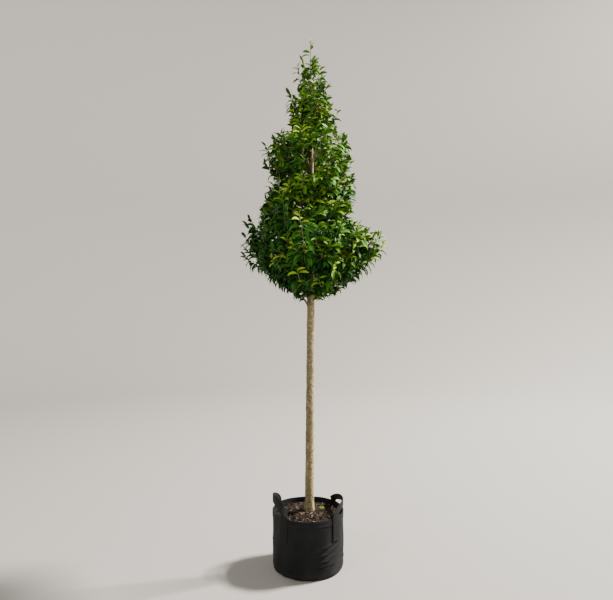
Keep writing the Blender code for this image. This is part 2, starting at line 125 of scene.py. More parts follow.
# Crown outline: height, reach to the left and reach to the right of the trunk
CROWN_OUTLINE = (
    (1.400, 0.050, 0.050),
    (1.444, 0.110, 0.135),
    (1.471, 0.165, 0.205),
    (1.524, 0.235, 0.275),
    (1.578, 0.300, 0.305),
    (1.632, 0.330, 0.340),
    (1.658, 0.350, 0.350),
    (1.739, 0.345, 0.352),
    (1.765, 0.338, 0.346),
    (1.792, 0.335, 0.320),
    (1.819, 0.345, 0.285),
    (1.846, 0.336, 0.250),
    (1.873, 0.318, 0.252),
    (1.926, 0.295, 0.252),
    (1.953, 0.245, 0.240),
    (2.006, 0.262, 0.244),
    (2.060, 0.228, 0.250),
    (2.114, 0.234, 0.250),
    (2.167, 0.258, 0.245),
    (2.274, 0.240, 0.222),
    (2.301, 0.170, 0.212),
    (2.328, 0.142, 0.168),
    (2.408, 0.135, 0.148),
    (2.488, 0.130, 0.122),
    (2.542, 0.075, 0.124),
    (2.622, 0.070, 0.094),
    (2.703, 0.045, 0.058),
    (2.756, 0.032, 0.032),
    (TOP_HEIGHT, 0.020, 0.020),
)


@dataclass(frozen=True)
class Tier:
    """Masses of foliage in one band of the crown, stepping round and up the trunk."""

    name: str
    count: int
    first: float
    step: float
    root: float
    tip: float
    rise: float
    bough: tuple
    twigs: int
    shoots: int
    leaf_size: float


TIERS = (
    Tier("lower", 6, 180.0, -60.0, 1.365, 1.715, 0.015, (0.065, 0.088), 6, 72, 1.00),
    Tier("middle", 5, 212.0, 144.0, 1.600, 1.980, 0.016, (0.065, 0.110), 5, 60, 0.98),
    Tier("upper", 4, 165.0, 90.0, 1.830, 2.230, 0.020, (0.055, 0.105), 5, 52, 0.95),
    Tier("high", 4, 120.0, 90.0, 2.070, 2.430, 0.020, (), 4, 30, 0.92),
    Tier("crest", 3, 0.0, 120.0, 2.320, 2.612, 0.025, (), 2, 14, 0.86),
    Tier("leading_shoot", 1, 0.0, 0.0, TRUNK_TOP, TOP_HEIGHT - 0.024, 0.0, (), 2, 5, 0.80),
)
SEED = 41


# General helpers


def polar(radius, azimuth, height):
    """The point at a radius, an azimuth in degrees and a height."""
    turn = math.radians(azimuth)
    return Vector((radius * math.cos(turn), radius * math.sin(turn), height))


def between(stations, at):
    """Values at a height, read from rows of (height, value, ...) that rise."""
    for low, high in zip(stations, stations[1:]):
        if at <= high[0]:
            share = max(0.0, (at - low[0]) / (high[0] - low[0]))
            return [a + (b - a) * share for a, b in zip(low[1:], high[1:])]
    return list(stations[-1][1:])


def trunk_radius(height):
    return between(TRUNK_STATIONS, height - TRUNK_FOOT)[0]


def trunk_centre(height):
    """The trunk's middle: a slow lean to the right with a slight bow in the crown."""
    share = min(1.0, (height - TRUNK_FOOT) / (TRUNK_TOP - TRUNK_FOOT))
    bow = TRUNK_BOW * math.sin(math.pi * max(0.0, share) ** 1.6)
    return Vector((TRUNK_X + TRUNK_LEAN * share + bow, 0.5 * bow, height))


def crown_reach(azimuth, height):
    """How far the crown's outline stands from the trunk's middle."""
    if not CROWN_OUTLINE[0][0] <= height <= TOP_HEIGHT:
        return 0.0
    left, right = between(CROWN_OUTLINE, height)
    share = 0.5 + 0.5 * math.cos(math.radians(azimuth))
    return left + (right - left) * share


def room_left(point):
    """How far a point is inside the crown's outline; less than nothing outside it."""
    offset = point - trunk_centre(point.z)
    azimuth = math.degrees(math.atan2(offset.y, offset.x))
    return crown_reach(azimuth, point.z) - math.hypot(offset.x, offset.y)


def curve_through(start, bend, end, count):
    """Points of a quadratic curve that leaves start towards bend and arrives at end."""
    points = []
    for i in range(count):
        t = i / (count - 1)
        points.append(start * (1 - t) ** 2 + bend * 2 * t * (1 - t) + end * t**2)
    return points


def point_along(points, share):
    """The place and direction at a share of the way along a path."""
    at = share * (len(points) - 1)
    i = min(int(at), len(points) - 2)
    place = points[i].lerp(points[i + 1], at - i)
    return place, (points[i + 1] - points[i]).normalized()


def angle_from(start, turn):
    """The angle from start to turn, in radians, at most half a turn either way."""
    return (turn - start + math.pi) % (2 * math.pi) - math.pi


def path_length(points):
    return sum((b - a).length for a, b in zip(points, points[1:]))


def tapered(radius, taper, points):
    """A radius at each point, falling evenly to the taper's share of it."""
    last = len(points) - 1
    return [radius * (1 - (1 - taper) * i / last) for i in range(last + 1)]


def new_piece(name, slot, vertices, faces, materials, kinds=None, smooth=60):
    """A mesh object that rides on the plant. Kinds say which material each face has."""
    mesh = bpy.data.meshes.new(name)
    mesh.from_pydata(vertices, [], faces)
    for each in materials:
        mesh.materials.append(each)
    if kinds is not None:
        mesh.polygons.foreach_set("material_index", np.asarray(kinds, dtype=np.int32))
    mesh.shade_smooth()
    mesh.set_sharp_from_angle(angle=math.radians(smooth))
    mesh.update()
    piece = bpy.data.objects.new(name, mesh)
    bpy.context.scene.collection.objects.link(piece)
    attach(piece, "root")
    return piece


class Heap:
    """Corners and faces of many small shapes, gathered for one joined mesh."""

    def __init__(self):
        self.vertices = []
        self.faces = []
        self.kinds = []
        self.count = 0

    def add(self, shape, kind=0):
        vertices, faces = shape
        self.vertices.append(np.asarray(vertices, dtype=np.float64))
        self.faces.append(np.asarray(faces, dtype=np.int64) + self.count)
        self.kinds.append(np.full(len(faces), kind))
        self.count += len(vertices)

    def piece(self, name, slot, materials, smooth=60):
        gathered = [np.concatenate(each) for each in (self.vertices, self.faces)]
        return new_piece(name, slot, *gathered, materials, np.concatenate(self.kinds), smooth)


def grid_faces(rows, columns):
    """Quads of a grid of corners, row after row, closed round its columns."""
    low, j = np.meshgrid(np.arange(rows - 1) * columns, np.arange(columns), indexing="ij")
    high, k = low + columns, (j + 1) % columns
    return np.stack((low + j, low + k, high + k, high + j), -1).reshape(-1, 4)


def disc_faces(rings, columns):
    """Faces of rings of corners round one middle corner, which comes first."""
    fan = [(0, 1 + j, 1 + (j + 1) % columns) for j in range(columns)]
    return fan + (grid_faces(rings, columns)[:, (0, 3, 2, 1)] + 1).tolist()


def cap_faces(first, sides):
    """Quads that close a ring with an even number of corners."""
    return [(first, first + i, first + i + 1, first + i + 2) for i in range(1, sides - 2, 2)]


def tube(points, radii, sides, relief=None):
    """Corners and faces of a closed tube round a path, without twist, with flat ends and with
    relief added to its radius."""
    path = np.array([tuple(p) for p in points])
    along = np.gradient(path, axis=0)
    along /= np.linalg.norm(along, axis=1)[:, None]
    side = np.cross(along[0], (0.0, 1.0, 0.0) if abs(along[0][1]) < 0.9 else (1.0, 0.0, 0.0))
    turns = np.arange(sides) * 2 * math.pi / sides
    rings = []
    for i, (place, ahead) in enumerate(zip(path, along)):
        side = side - ahead * side.dot(ahead)
        side /= np.linalg.norm(side)
        across = np.cross(ahead, side)
        ring = radii[i] + (np.zeros(sides) if relief is None else relief[i])
        spread = np.cos(turns)[:, None] * side + np.sin(turns)[:, None] * across
        rings.append(place + spread * ring[:, None])
    faces = grid_faces(len(path), sides).tolist()
    faces += [quad[::-1] for quad in cap_faces(0, sides)]
    faces += cap_faces((len(path) - 1) * sides, sides)
    return np.concatenate(rings), faces


# Materials


class Look:
    """A Principled material, with short calls for the nodes that feed it."""

    def __init__(self, name, colour, roughness, level):
        self.material = bpy.data.materials.new(name)
        self.material.use_nodes = True
        self.material.diffuse_color = (*colour, 1.0)
        self.tree = self.material.node_tree
        self.shader = self.tree.nodes["Principled BSDF"]
        self.shader.inputs["Base Color"].default_value = (*colour, 1.0)
        self.shader.inputs["Roughness"].default_value = roughness
        self.shader.inputs["Specular IOR Level"].default_value = level

    def feed(self, node, inputs):
        """Gives each named input of a node its value, or another node's output."""
        for key, value in inputs.items():
            socket = node.inputs[key]
            if isinstance(value, bpy.types.NodeSocket):
                self.tree.links.new(value, socket)
            else:
                socket.default_value = (*value, 1.0) if socket.type == "RGBA" else value

    def node(self, kind, inputs=(), **settings):
        made = self.tree.nodes.new(f"ShaderNode{kind}")
        for key, value in settings.items():
            setattr(made, key, value)
        self.feed(made, dict(inputs))
        return made

    def place(self, scale=(1.0, 1.0, 1.0)):
        """Coordinates in metres, stretched by a scale."""
        source = self.node("TexCoord").outputs["Object"]
        return self.node("Mapping", {"Vector": source, "Scale": scale}).outputs["Vector"]

    def axis(self, name):
        return self.node("SeparateXYZ", {0: self.place()}).outputs[name]

    def noise(self, scale, detail=4.0, stretch=(1.0, 1.0, 1.0), rough=0.55):
        place = self.place(stretch)
        inputs = {"Vector": place, "Scale": scale, "Detail": detail, "Roughness": rough}
        return self.node("TexNoise", inputs).outputs["Fac"]

    def ramp(self, value, *stops):
        """A colour ramp with (position, colour) stops."""
        made = self.node("ValToRGB", {"Fac": value})
        row = made.color_ramp.elements
        for i, (position, colour) in enumerate(stops):
            stop = row[i] if i < 2 else row.new(position)
            stop.position = position
            stop.color = (*colour, 1.0)
        return made.outputs["Color"]

    def levels(self, value, low, high, out_low=0.0, out_high=1.0):
        inputs = {"Value": value, 1: low, 2: high, 3: out_low, 4: out_high}
        return self.node("MapRange", inputs).outputs["Result"]

    def mix(self, factor, a, b, blend="MIX"):
        inputs = {0: factor, 6: a, 7: b}
        return self.node("Mix", inputs, data_type="RGBA", blend_type=blend).outputs[2]

    def shaded(self, colour, factor):
        """A colour made darker or lighter by a factor."""
        grey = self.node("CombineColor", {0: factor, 1: factor, 2: factor}).outputs[0]
        return self.mix(1.0, colour, grey, "MULTIPLY")

    def math(self, operation, a, b):
        return self.node("Math", {0: a, 1: b}, operation=operation).outputs[0]

    def colour(self, value):
        self.feed(self.shader, {"Base Color": value})

    def bump(self, height, distance, strength=1.0, under=None):
        inputs = {"Height": height, "Distance": distance, "Strength": strength}
        if under is not None:
            inputs["Normal"] = under
        made = self.node("Bump", inputs).outputs["Normal"]
        self.feed(self.shader, {"Normal": made})
        return made


def bark_look(name, dark, mid, pale, scale=1.0, painted_light_span=None):
    """Olive-brown bark with fine cracks, pale pores and grey-green patches. It is painted with light
    between the two places across the trunk that the last argument gives: painted shade, darker and a
    little greener, on the left, and painted sunlight, paler, on the right."""
    look = Look(name, mid, 0.82, 0.25)
    streaks = look.noise(85.0 * scale, 6.0, (1.0, 1.0, 0.9), rough=0.65)
    patches = look.noise(17.0 * scale, 3.0, (1.0, 1.0, 0.7))
    grain = look.noise(420.0 * scale, 4.0, (1.0, 1.0, 1.3))
    base = look.ramp(streaks, (0.36, dark), (0.50, mid), (0.64, pale))
    green = look.levels(patches, 0.48, 0.66, 0.0, 0.55)
    base = look.mix(green, base, (mid[0] * 0.72, mid[1] * 0.86, mid[2] * 0.62))
    spots = {"Vector": look.place((1.0, 1.0, 1.9)), "Scale": 150.0 * scale, "Randomness": 1.0}
    speck = look.node("TexVoronoi", spots).outputs["Distance"]
    pores = look.levels(speck, 0.10, 0.24, 1.0, 0.0)
    shown = look.math("MULTIPLY", pores, look.levels(patches, 0.40, 0.60, 0.15, 0.75))
    base = look.mix(shown, base, (0.50, 0.44, 0.33))
    base = look.shaded(base, look.levels(grain, 0.3, 0.7, 0.82, 1.12))
    # Painted light: the bark is darkened on the left as painted shade and lightened on the right as
    # painted sunlight
    if painted_light_span:
        side = look.levels(look.axis("X"), *painted_light_span)
        shade = look.mix(side, (0.66, 0.68, 0.62), (1.45, 1.42, 1.36))
        base = look.mix(1.0, base, shade, "MULTIPLY")
    look.colour(base)
    under = look.bump(streaks, 0.0012)
    look.bump(look.math("ADD", grain, look.math("MULTIPLY", pores, 1.5)), 0.0005, 0.8, under)
    return look.material


def fabric_look(name, thread, dark, pale, dusty):
    """Matt woven fabric: two sets of threads, unevenly faded, and dusty low down if so asked."""
    look = Look(name, dark, 0.66, 0.08)
    look.shader.inputs["Sheen Weight"].default_value = 0.02
    look.shader.inputs["Sheen Roughness"].default_value = 0.5
    # The wave texture repeats every 2 pi / 20 of its units, so this scale makes a band a thread
    weave = {
        "Vector": look.node("TexCoord").outputs["UV"],
        "Scale": 2.0 * math.pi / (20.0 * thread),
        "Distortion": 0.6,
        "Detail": 1.0,
        "Detail Scale": 0.4,
    }
    sets = [look.node("TexWave", weave, bands_direction=way).outputs["Fac"] for way in ("X", "Y")]
    cloth = look.math("MULTIPLY", *sets)
    fade = look.noise(9.0, 4.0, (1.0, 1.0, 0.7))
    fuzz = look.noise(260.0, 3.0)
    shade = look.math("ADD", look.math("MULTIPLY", fade, 0.7), look.math("MULTIPLY", fuzz, 0.3))
    base = look.ramp(shade, (0.36, dark), (0.66, pale))
    base = look.shaded(base, look.levels(cloth, 0.0, 0.7, 0.72, 1.15))
    if dusty:
        low = look.levels(look.axis("Z"), 0.0, 0.06, 0.30, 0.0)
        dust = look.math("MULTIPLY", low, look.levels(look.noise(34.0, 5.0), 0.42, 0.68))
        base = look.mix(dust, base, (0.060, 0.052, 0.042))
    look.colour(base)
    look.feed(look.shader, {"Roughness": look.levels(fade, 0.3, 0.7, 0.58, 0.74)})
    under = look.bump(cloth, 0.35 * thread)
    look.bump(fuzz, 0.0004, 0.5, under)
    return look.material


def soil_look():
    """Dark, crumbly compost."""
    look = Look("compost", (0.030, 0.021, 0.015), 0.95, 0.2)
    crumbs = look.noise(240.0, 8.0)
    look.colour(look.ramp(crumbs, (0.34, (0.007, 0.005, 0.004)), (0.66, (0.034, 0.024, 0.017))))
    look.bump(crumbs, 0.003)
    return look.material


def chip_look(name, colour):
    """Bark chip with a paler, drier grain."""
    look = Look(name, colour, 0.88, 0.25)
    grain = look.noise(300.0)
    darker = tuple(0.55 * c for c in colour)
    lighter = tuple(1.45 * c for c in colour)
    look.colour(look.ramp(grain, (0.32, darker), (0.50, colour), (0.70, lighter)))
    look.bump(grain, 0.0007)
    return look.material


def plain(name, colour, roughness, level=0.4):
    """A material of one colour. Level is how much it mirrors."""
    return Look(name, colour, roughness, level).material


# Bag


BAG_COLUMNS, SIDE_ROWS = 360, 96
# How much the rim waves up and down, and how far down from it
RIM_WAVE, RIM_DEPTH = 0.00096, 0.05
# The pull of a strap's seam: how far off the strap, how wide and how deep
SEAM_OFF, SEAM_WIDTH, SEAM_DEPTH = 0.0022, 0.0022, 0.0030
STITCH_THICKNESS = 0.0009
STITCH_SHARE = 0.62
HEM_STITCH_PITCH = 0.0075
HEM_STITCH_DEPTHS = (0.0275, 0.0305)
STRAP_STITCH_PITCH = 0.0060
STRAP_STITCH_INSET = 0.0045
STRAP_STITCH_LOW = LEG_FOOT + 0.006
STRAP_STITCH_HIGH = BAG_HEIGHT - HEM_DEPTH - 0.004
CREASE_SEED = 7
CREASE_STEP = (7.0, 15.0)


@dataclass(frozen=True)
class Crease:
    """A fold in the bag's side: its middle, half-length, rise along it, arch, depth and width."""

    azimuth: float
    height: float
    half: float
    slope: float
    arch: float
    depth: float
    width: float


# The folds low on the front right, and those low on the left
FRONT_CREASES = (
    Crease(303.0, 0.158, 0.060, 0.26, 0.10, 0.0052, 0.0070),
    Crease(316.0, 0.142, 0.062, 0.34, 0.14, 0.0060, 0.0075),
    Crease(300.0, 0.121, 0.066, 0.20, 0.16, 0.0056, 0.0070),
    Crease(318.0, 0.108, 0.058, 0.36, 0.20, 0.0054, 0.0068),
    Crease(305.0, 0.088, 0.070, 0.12, 0.18, 0.0054, 0.0072),
    Crease(292.0, 0.066, 0.075, 0.05, 0.16, 0.0046, 0.0072),
    Crease(318.0, 0.066, 0.050, 0.30, 0.20, 0.0048, 0.0065),
    Crease(276.0, 0.044, 0.060, 0.02, 0.12, 0.0036, 0.0065),
    Crease(288.0, 0.140, 0.040, 0.10, 0.10, 0.0036, 0.0065),
    Crease(284.0, 0.104, 0.045, 0.04, 0.12, 0.0034, 0.0065),
    Crease(325.0, 0.172, 0.040, 0.30, 0.10, 0.0044, 0.0070),
    Crease(326.0, 0.086, 0.040, 0.30, 0.10, 0.0044, 0.0065),
    Crease(230.0, 0.172, 0.026, 0.08, 0.20, 0.0030, 0.0060),
    Crease(232.0, 0.158, 0.030, 0.02, 0.20, 0.0026, 0.0060),
    Crease(222.0, 0.060, 0.045, -0.16, 0.12, 0.0030, 0.0070),
)


# Those round the rest of the bag: where they start and end, and the spans of their other sizes
OTHER_CREASES = (-24.0, 205.0)
CREASE_SPANS = (
    (0.035, 0.170), (0.030, 0.065), (-0.30, 0.30), (0.0, 0.2), (0.0026, 0.0046), (0.006, 0.008),
)


def all_creases():
    """The front's creases and fainter ones all round the rest of the bag."""
    draw = random.Random(CREASE_SEED)
    creases = list(FRONT_CREASES)
    azimuth, end = OTHER_CREASES
    while azimuth < end:
        creases.append(Crease(azimuth, *(draw.uniform(*span) for span in CREASE_SPANS)))
        azimuth += draw.uniform(*CREASE_STEP)
    return creases


CREASES = all_creases()


def crease_relief(turn, height):
    """How far the bag's side is pressed in or bulges, at arrays of turns and heights."""
    total = np.zeros_like(turn)
    for crease in CREASES:
        along = angle_from(math.radians(crease.azimuth), turn) * BAG_RADIUS
        line = crease.height + crease.slope * along + crease.arch * along**2 / crease.half
        across = (height - line) / crease.width
        fade = np.clip(1.0 - (along / crease.half) ** 2, 0.0, 1.0) ** 1.5
        groove = -np.exp(-(across**2) * 2.2)
        ridge = 0.75 * np.exp(-((across - 1.25) ** 2) * 1.1)
        total += crease.depth * fade * (groove + ridge)
    return total


def seam_relief(turn, height):
    """The fabric pulled in along both edges of each strap's sewn end."""
    level = np.clip((height - LEG_FOOT + 0.002) / 0.003, 0.0, 1.0)
    total = np.zeros_like(turn)
    edge = 0.5 * STRAP_WIDTH + SEAM_OFF
    for azimuth in HANDLES.values():
        for leg in (-LEG_SPREAD, LEG_SPREAD):
            away = np.abs(angle_from(math.radians(azimuth + leg), turn)) * BAG_RADIUS
            total -= SEAM_DEPTH * level * np.exp(-(((away - edge) / SEAM_WIDTH) ** 2))
    return total


def slow_wave(turn, height):
    """Slight bulges of the filled bag, the same all the way up or drifting slowly."""
    return (
        0.0013 * np.sin(3.0 * turn + 0.6)
        + 0.0010 * np.sin(7.0 * turn + 11.0 * height + 1.1)
        + 0.0007 * np.sin(13.0 * turn - 23.0 * height)
        + 0.0006 * np.sin(4.0 * turn + 42.0 * height + 2.0)
    )


def rounded_foot(radius, height, steps):
    """Profile points of the bag's rounded bottom edge, from the side to the underside."""
    turns = [0.5 * math.pi * i / steps for i in range(steps + 1)]
    return [(radius - height * (1.0 - math.cos(t)), height * (1.0 - math.sin(t))) for t in turns]


def bag_profile():
    """(radius, height, share of relief) from the middle of the floor inside, over the rim, to
    the middle of the underside."""
    inner = BAG_RADIUS - BAG_WALL
    hem = BAG_RADIUS + HEM_PROUD
    rows = [(0.002, BAG_WALL, 0.0)]
    inside = rounded_foot(inner, BAG_FOOT_ROUND - BAG_WALL, 4)
    rows += [(r, z + BAG_WALL, 0.0) for r, z in reversed(inside)]
    rows += [(inner, z, 0.0) for z in (0.10, 0.20, 0.245)]
    rows += [(inner, 0.255 + 0.012 * i, 0.35) for i in range(5)]
    roll = 0.5 * (hem - inner)
    for i in range(7):
        turn = math.pi * i / 6
        height = BAG_HEIGHT - roll * (1.0 - math.sin(turn))
        rows.append((inner + roll * (1.0 - math.cos(turn)), height, 0.5))
    for i in range(1, 13):
        sag = 0.0006 * math.sin(math.pi * i / 12)
        rows.append((hem + sag, BAG_HEIGHT - roll - (HEM_DEPTH - roll) * i / 12, 0.7))
    fold = BAG_HEIGHT - HEM_DEPTH
    rows += [(hem - 0.0003, fold - 0.0008, 0.7), (BAG_RADIUS - 0.0004, fold - 0.0012, 0.8)]
    top = fold - 0.0035
    for i in range(SIDE_ROWS):
        rows.append((BAG_RADIUS, top + (BAG_FOOT_ROUND - top) * i / SIDE_ROWS, 1.0))
    for i, (radius, height) in enumerate(rounded_foot(BAG_RADIUS, BAG_FOOT_ROUND, 12)):
        seam = 0.0016 * math.exp(-(((i - 5.0) / 0.9) ** 2))
        rows.append((radius + 0.7 * seam, height - 0.7 * seam, max(0.0, 1.0 - i / 9)))
    return rows + [(radius, 0.0, 0.0) for radius in (0.12, 0.06, 0.002)]


def face_corners(piece):
    """Which of the piece's corners each of its faces meets, face after face."""
    corners = np.empty(len(piece.data.loops), dtype=np.int32)
    piece.data.loops.foreach_get("vertex_index", corners)
    return corners


def lay_cloth(piece, u, v):
    """Gives each corner of each face its place on the flat cloth, in metres."""
    layer = piece.data.uv_layers.new(name="UVMap")
    layer.data.foreach_set("uv", np.stack((u, v), -1).ravel())


def make_bag(material):
    """The tub of fabric, with its creases, hem and rounded bottom edge."""
    rows = np.array(bag_profile())
    turn = np.arange(BAG_COLUMNS) * 2 * math.pi / BAG_COLUMNS
    turns, radius = np.meshgrid(turn, rows[:, 0])
    heights, share = (np.repeat(rows[:, i][:, None], BAG_COLUMNS, axis=1) for i in (1, 2))
    relief = share * (slow_wave(turns, heights) + crease_relief(turns, heights))
    relief += share**4 * seam_relief(turns, heights)
    radius = radius + relief
    rim = np.clip((heights - (BAG_HEIGHT - RIM_DEPTH)) / RIM_DEPTH, 0.0, 1.0)
    wave = np.sin(2.0 * turns + 0.8) + 0.6 * np.sin(5.0 * turns + 2.2) - 1.2
    heights = heights + rim * RIM_WAVE * wave
    vertices = np.stack((radius * np.cos(turns), radius * np.sin(turns), heights), -1)
    side = grid_faces(len(rows), BAG_COLUMNS)[:, ::-1]
    last = (len(rows) - 1) * BAG_COLUMNS
    faces = side.tolist()
    faces.append(tuple(range(BAG_COLUMNS)))
    faces.append(tuple(range(last, last + BAG_COLUMNS))[::-1])
    bag = new_piece("bag_fabric", "bag_fabric", vertices.reshape(-1, 3), faces, [material], smooth=40)
    corners = face_corners(bag)
    column = corners % BAG_COLUMNS
    quads = column[: side.size].reshape(-1, 4)
    quads[(quads == 0) & (np.ptp(quads, axis=1)[:, None] > 1)] = BAG_COLUMNS
    steps = np.linalg.norm(np.diff(rows[:, :2], axis=0), axis=1)
    run = np.concatenate(((0.0,), np.cumsum(steps)))
    lay_cloth(bag, column * 2 * math.pi * BAG_RADIUS / BAG_COLUMNS, run[corners // BAG_COLUMNS])
    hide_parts("bag")


def bag_surface(azimuth, height):
    """The bag's outer radius at a place on its side."""
    turn, level = np.array([math.radians(azimuth)]), np.array([height])
    relief = float((slow_wave(turn, level) + crease_relief(turn, level))[0])
    if height > BAG_HEIGHT - HEM_DEPTH:
        return BAG_RADIUS + HEM_PROUD + 0.7 * relief
    return BAG_RADIUS + relief


def stitch(heap, start, end, outward):
    """One stitch: a short thread that bows off the fabric."""
    middle = start.lerp(end, 0.5) + outward * STITCH_THICKNESS * 0.9
    sink = outward * 0.0004
    path = curve_through(start - sink, middle, end - sink, 4)
    heap.add(tube(path, [STITCH_THICKNESS * 0.5] * 4, 4))


def make_hem_stitches(material):
    """Two rows of stitches round the folded hem."""
    heap = Heap()
    count = int(2 * math.pi * BAG_RADIUS / HEM_STITCH_PITCH)
    for depth in HEM_STITCH_DEPTHS:
        height = BAG_HEIGHT - depth
        for i in range(count):
            turns = [360.0 * (i + share) / count for share in (0.0, STITCH_SHARE)]
            ends = [polar(bag_surface(turn, height) + 0.0005, turn, height) for turn in turns]
            stitch(heap, *ends, polar(1.0, turns[0], 0.0))
    heap.piece("hem_stitches", "strap_webbing", [material])


# Handles


def strap_line(share):
    """The strap's middle laid flat: run round the bag and height above the rim, with the
    direction along it, from the foot of one leg over to the other."""
    half = math.radians(LEG_SPREAD) * STRAP_RADIUS
    leg = BAG_HEIGHT - LEG_FOOT
    arch = math.pi * math.sqrt(0.5 * (half**2 + LOOP_RISE**2))
    run = share * (2 * leg + arch)
    if run <= leg:
        return Vector((-half, run - leg)), Vector((0.0, 1.0))
    if run >= leg + arch:
        return Vector((half, leg + arch - run)), Vector((0.0, -1.0))
    turn = math.pi * (run - leg) / arch
    along = Vector((half * math.sin(turn), LOOP_RISE * math.cos(turn)))
    return Vector((-half * math.cos(turn), LOOP_RISE * math.sin(turn))), along.normalized()


def strap_place(azimuth, flat):
    """Wraps a flat point of the strap round the bag, leaning in above the rim."""
    turn = math.degrees(flat.x / STRAP_RADIUS)
    rise = max(0.0, flat.y)
    lean = math.radians(LEAN_GROWTH * max(0.0, turn - LEAN_START))
    leaning = rise**2 / (rise + LEAN_EASE)
    height = BAG_HEIGHT + flat.y - leaning * (1.0 - math.cos(lean))
    return polar(STRAP_RADIUS - leaning * math.sin(lean), azimuth + turn, height)


def strap_point(azimuth, share, across, out):
    """A point of the strap, across its width and off its middle surface, in metres."""
    middle, along = strap_line(share)
    flat = middle + Vector((along.y, -along.x)) * across
    step = 0.0005
    place = strap_place(azimuth, flat)
    right = strap_place(azimuth, flat + Vector((step, 0.0))) - place
    up = strap_place(azimuth, flat + Vector((0.0, step))) - place
    return place + right.cross(up).normalized() * out


STRAP_ROWS = 150
STRAP_RIBS = 9
RIB_HEIGHT = 0.00022
SELVEDGE = 0.0018


def strap_section():
    """(across, off the face) round the webbing: ribbed faces and rounded selvedges."""
    half = 0.5 * STRAP_WIDTH
    thick = 0.5 * STRAP_THICKNESS
    steps = STRAP_RIBS * 4
    outer = []
    for i in range(steps + 1):
        x = -half + 2 * half * i / steps
        rib = RIB_HEIGHT * math.cos(2 * math.pi * STRAP_RIBS * i / steps)
        edge = 1.0 - max(0.0, (abs(x) - (half - SELVEDGE)) / SELVEDGE) ** 2 * 0.75
        outer.append((x, (thick - 0.0003 + rib) * edge))
    return outer + [(x, -y) for x, y in reversed(outer)]


def make_handle(name, azimuth, material):
    """The webbing of one handle, lying on the bag's creases where it is sewn down."""
    section = strap_section()
    columns = len(section)
    rings = []
    for i in range(STRAP_ROWS + 1):
        for across, out in section:
            corner = strap_point(azimuth, i / STRAP_ROWS, across, out)
            if corner.z < BAG_HEIGHT:
                turn = math.degrees(math.atan2(corner.y, corner.x))
                follow = max(-0.0004, bag_surface(turn, corner.z) - BAG_RADIUS - HEM_PROUD)
                sewn = min(1.0, (BAG_HEIGHT - corner.z) / 0.02)
                corner += polar(0.8 * follow * sewn, turn, 0.0)
            rings.append(tuple(corner))
    faces = grid_faces(STRAP_ROWS + 1, columns).tolist()
    for first, order in ((0, 1), (STRAP_ROWS * columns, -1)):
        end = first + columns - 1
        for j in range(columns // 2 - 1):
            faces.append((first + j, first + j + 1, end - 1 - j, end - j)[::order])
    handle = new_piece(name + "_webbing", "strap_webbing", rings, faces, [material], smooth=50)
    length = path_length([strap_line(i / 60)[0] for i in range(61)])
    corners = face_corners(handle)
    u = np.array([x for x, _ in section])[corners % columns]
    lay_cloth(handle, u, (corners // columns) * length / STRAP_ROWS)
    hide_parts(name)


def make_strap_stitches(material):
    """A stitched box with a cross in it at each strap's sewn end, below the hem."""
    heap = Heap()
    half = 0.5 * STRAP_WIDTH - STRAP_STITCH_INSET
    low, high = STRAP_STITCH_LOW, STRAP_STITCH_HIGH
    box = np.array(((-half, low), (half, low), (half, high), (-half, high)))
    radius = STRAP_RADIUS + 0.5 * STRAP_THICKNESS + 0.0002
    middles = [at + side * LEG_SPREAD for at in HANDLES.values() for side in (-1, 1)]
    for middle in middles:
        for a, b in ((0, 1), (1, 2), (2, 3), (3, 0), (0, 2), (1, 3)):
            count = max(2, round(math.dist(box[a], box[b]) / STRAP_STITCH_PITCH))
            for i in range(count):
                ends = []
                for share in (0.0, STITCH_SHARE):
                    x, z = box[a] + (box[b] - box[a]) * (i + share) / count
                    ends.append(polar(radius, middle + math.degrees(x / BAG_RADIUS), z))
                stitch(heap, *ends, polar(1.0, middle, 0.0))
    heap.piece("strap_stitches", "strap_webbing", [material])


# Soil


SOIL_RINGS = 70
SOIL_COLUMNS = 160
SOIL_CLEAR = 0.0004
CHIP_COUNT = 2900
CHIP_SEED = 11
CHIP_CORNERS = 6
CHIP_LENGTHS = (0.023, 0.008)
CHIP_COLOURS = (
    (0.020, 0.011, 0.008),
    (0.011, 0.007, 0.005),
    (0.032, 0.020, 0.014),
    (0.050, 0.038, 0.029),
    (0.095, 0.066, 0.044),
    (0.240, 0.180, 0.120),
)
CHIP_WEIGHTS = (7, 9, 5, 3, 2, 2)


def soil_height(x, y):
    """The mulch's surface: level with the solid, with small hollows and heaps."""
    radius = math.hypot(x, y)
    edge = BAG_RADIUS - BAG_WALL
    share = min(1.0, max(0.0, (radius - SOIL_HEAP_RADIUS) / (edge - SOIL_HEAP_RADIUS)))
    height = SOIL_TOP + (SOIL_EDGE - SOIL_TOP) * (0.85 * share + 0.15 * share**2)
    rough = noise.noise(Vector((x * 28.0, y * 28.0, 3.0))) * 0.0035
    rough += noise.noise(Vector((x * 90.0, y * 90.0, 7.0))) * 0.0016
    return height + rough


def make_soil(material):
    """The compost: its rough top, its side just inside the bag's wall and its flat base."""
    edge = BAG_RADIUS - BAG_WALL - SOIL_CLEAR
    rows = [(edge * i / SOIL_RINGS, None) for i in range(1, SOIL_RINGS + 1)]
    rows += [(edge, 0.03), (edge - 0.02, BAG_WALL + SOIL_CLEAR)]
    vertices = [(0.0, 0.0, soil_height(0.0, 0.0))]
    for radius, height in rows:
        for j in range(SOIL_COLUMNS):
            turn = 2 * math.pi * j / SOIL_COLUMNS
            x, y = radius * math.cos(turn), radius * math.sin(turn)
            vertices.append((x, y, soil_height(x, y) if height is None else height))
    faces = disc_faces(len(rows), SOIL_COLUMNS)
    faces.append(tuple(range(len(vertices) - SOIL_COLUMNS, len(vertices)))[::-1])
    soil = new_piece("compost", "bark_mulch", vertices, faces, [material])
    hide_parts("soil")


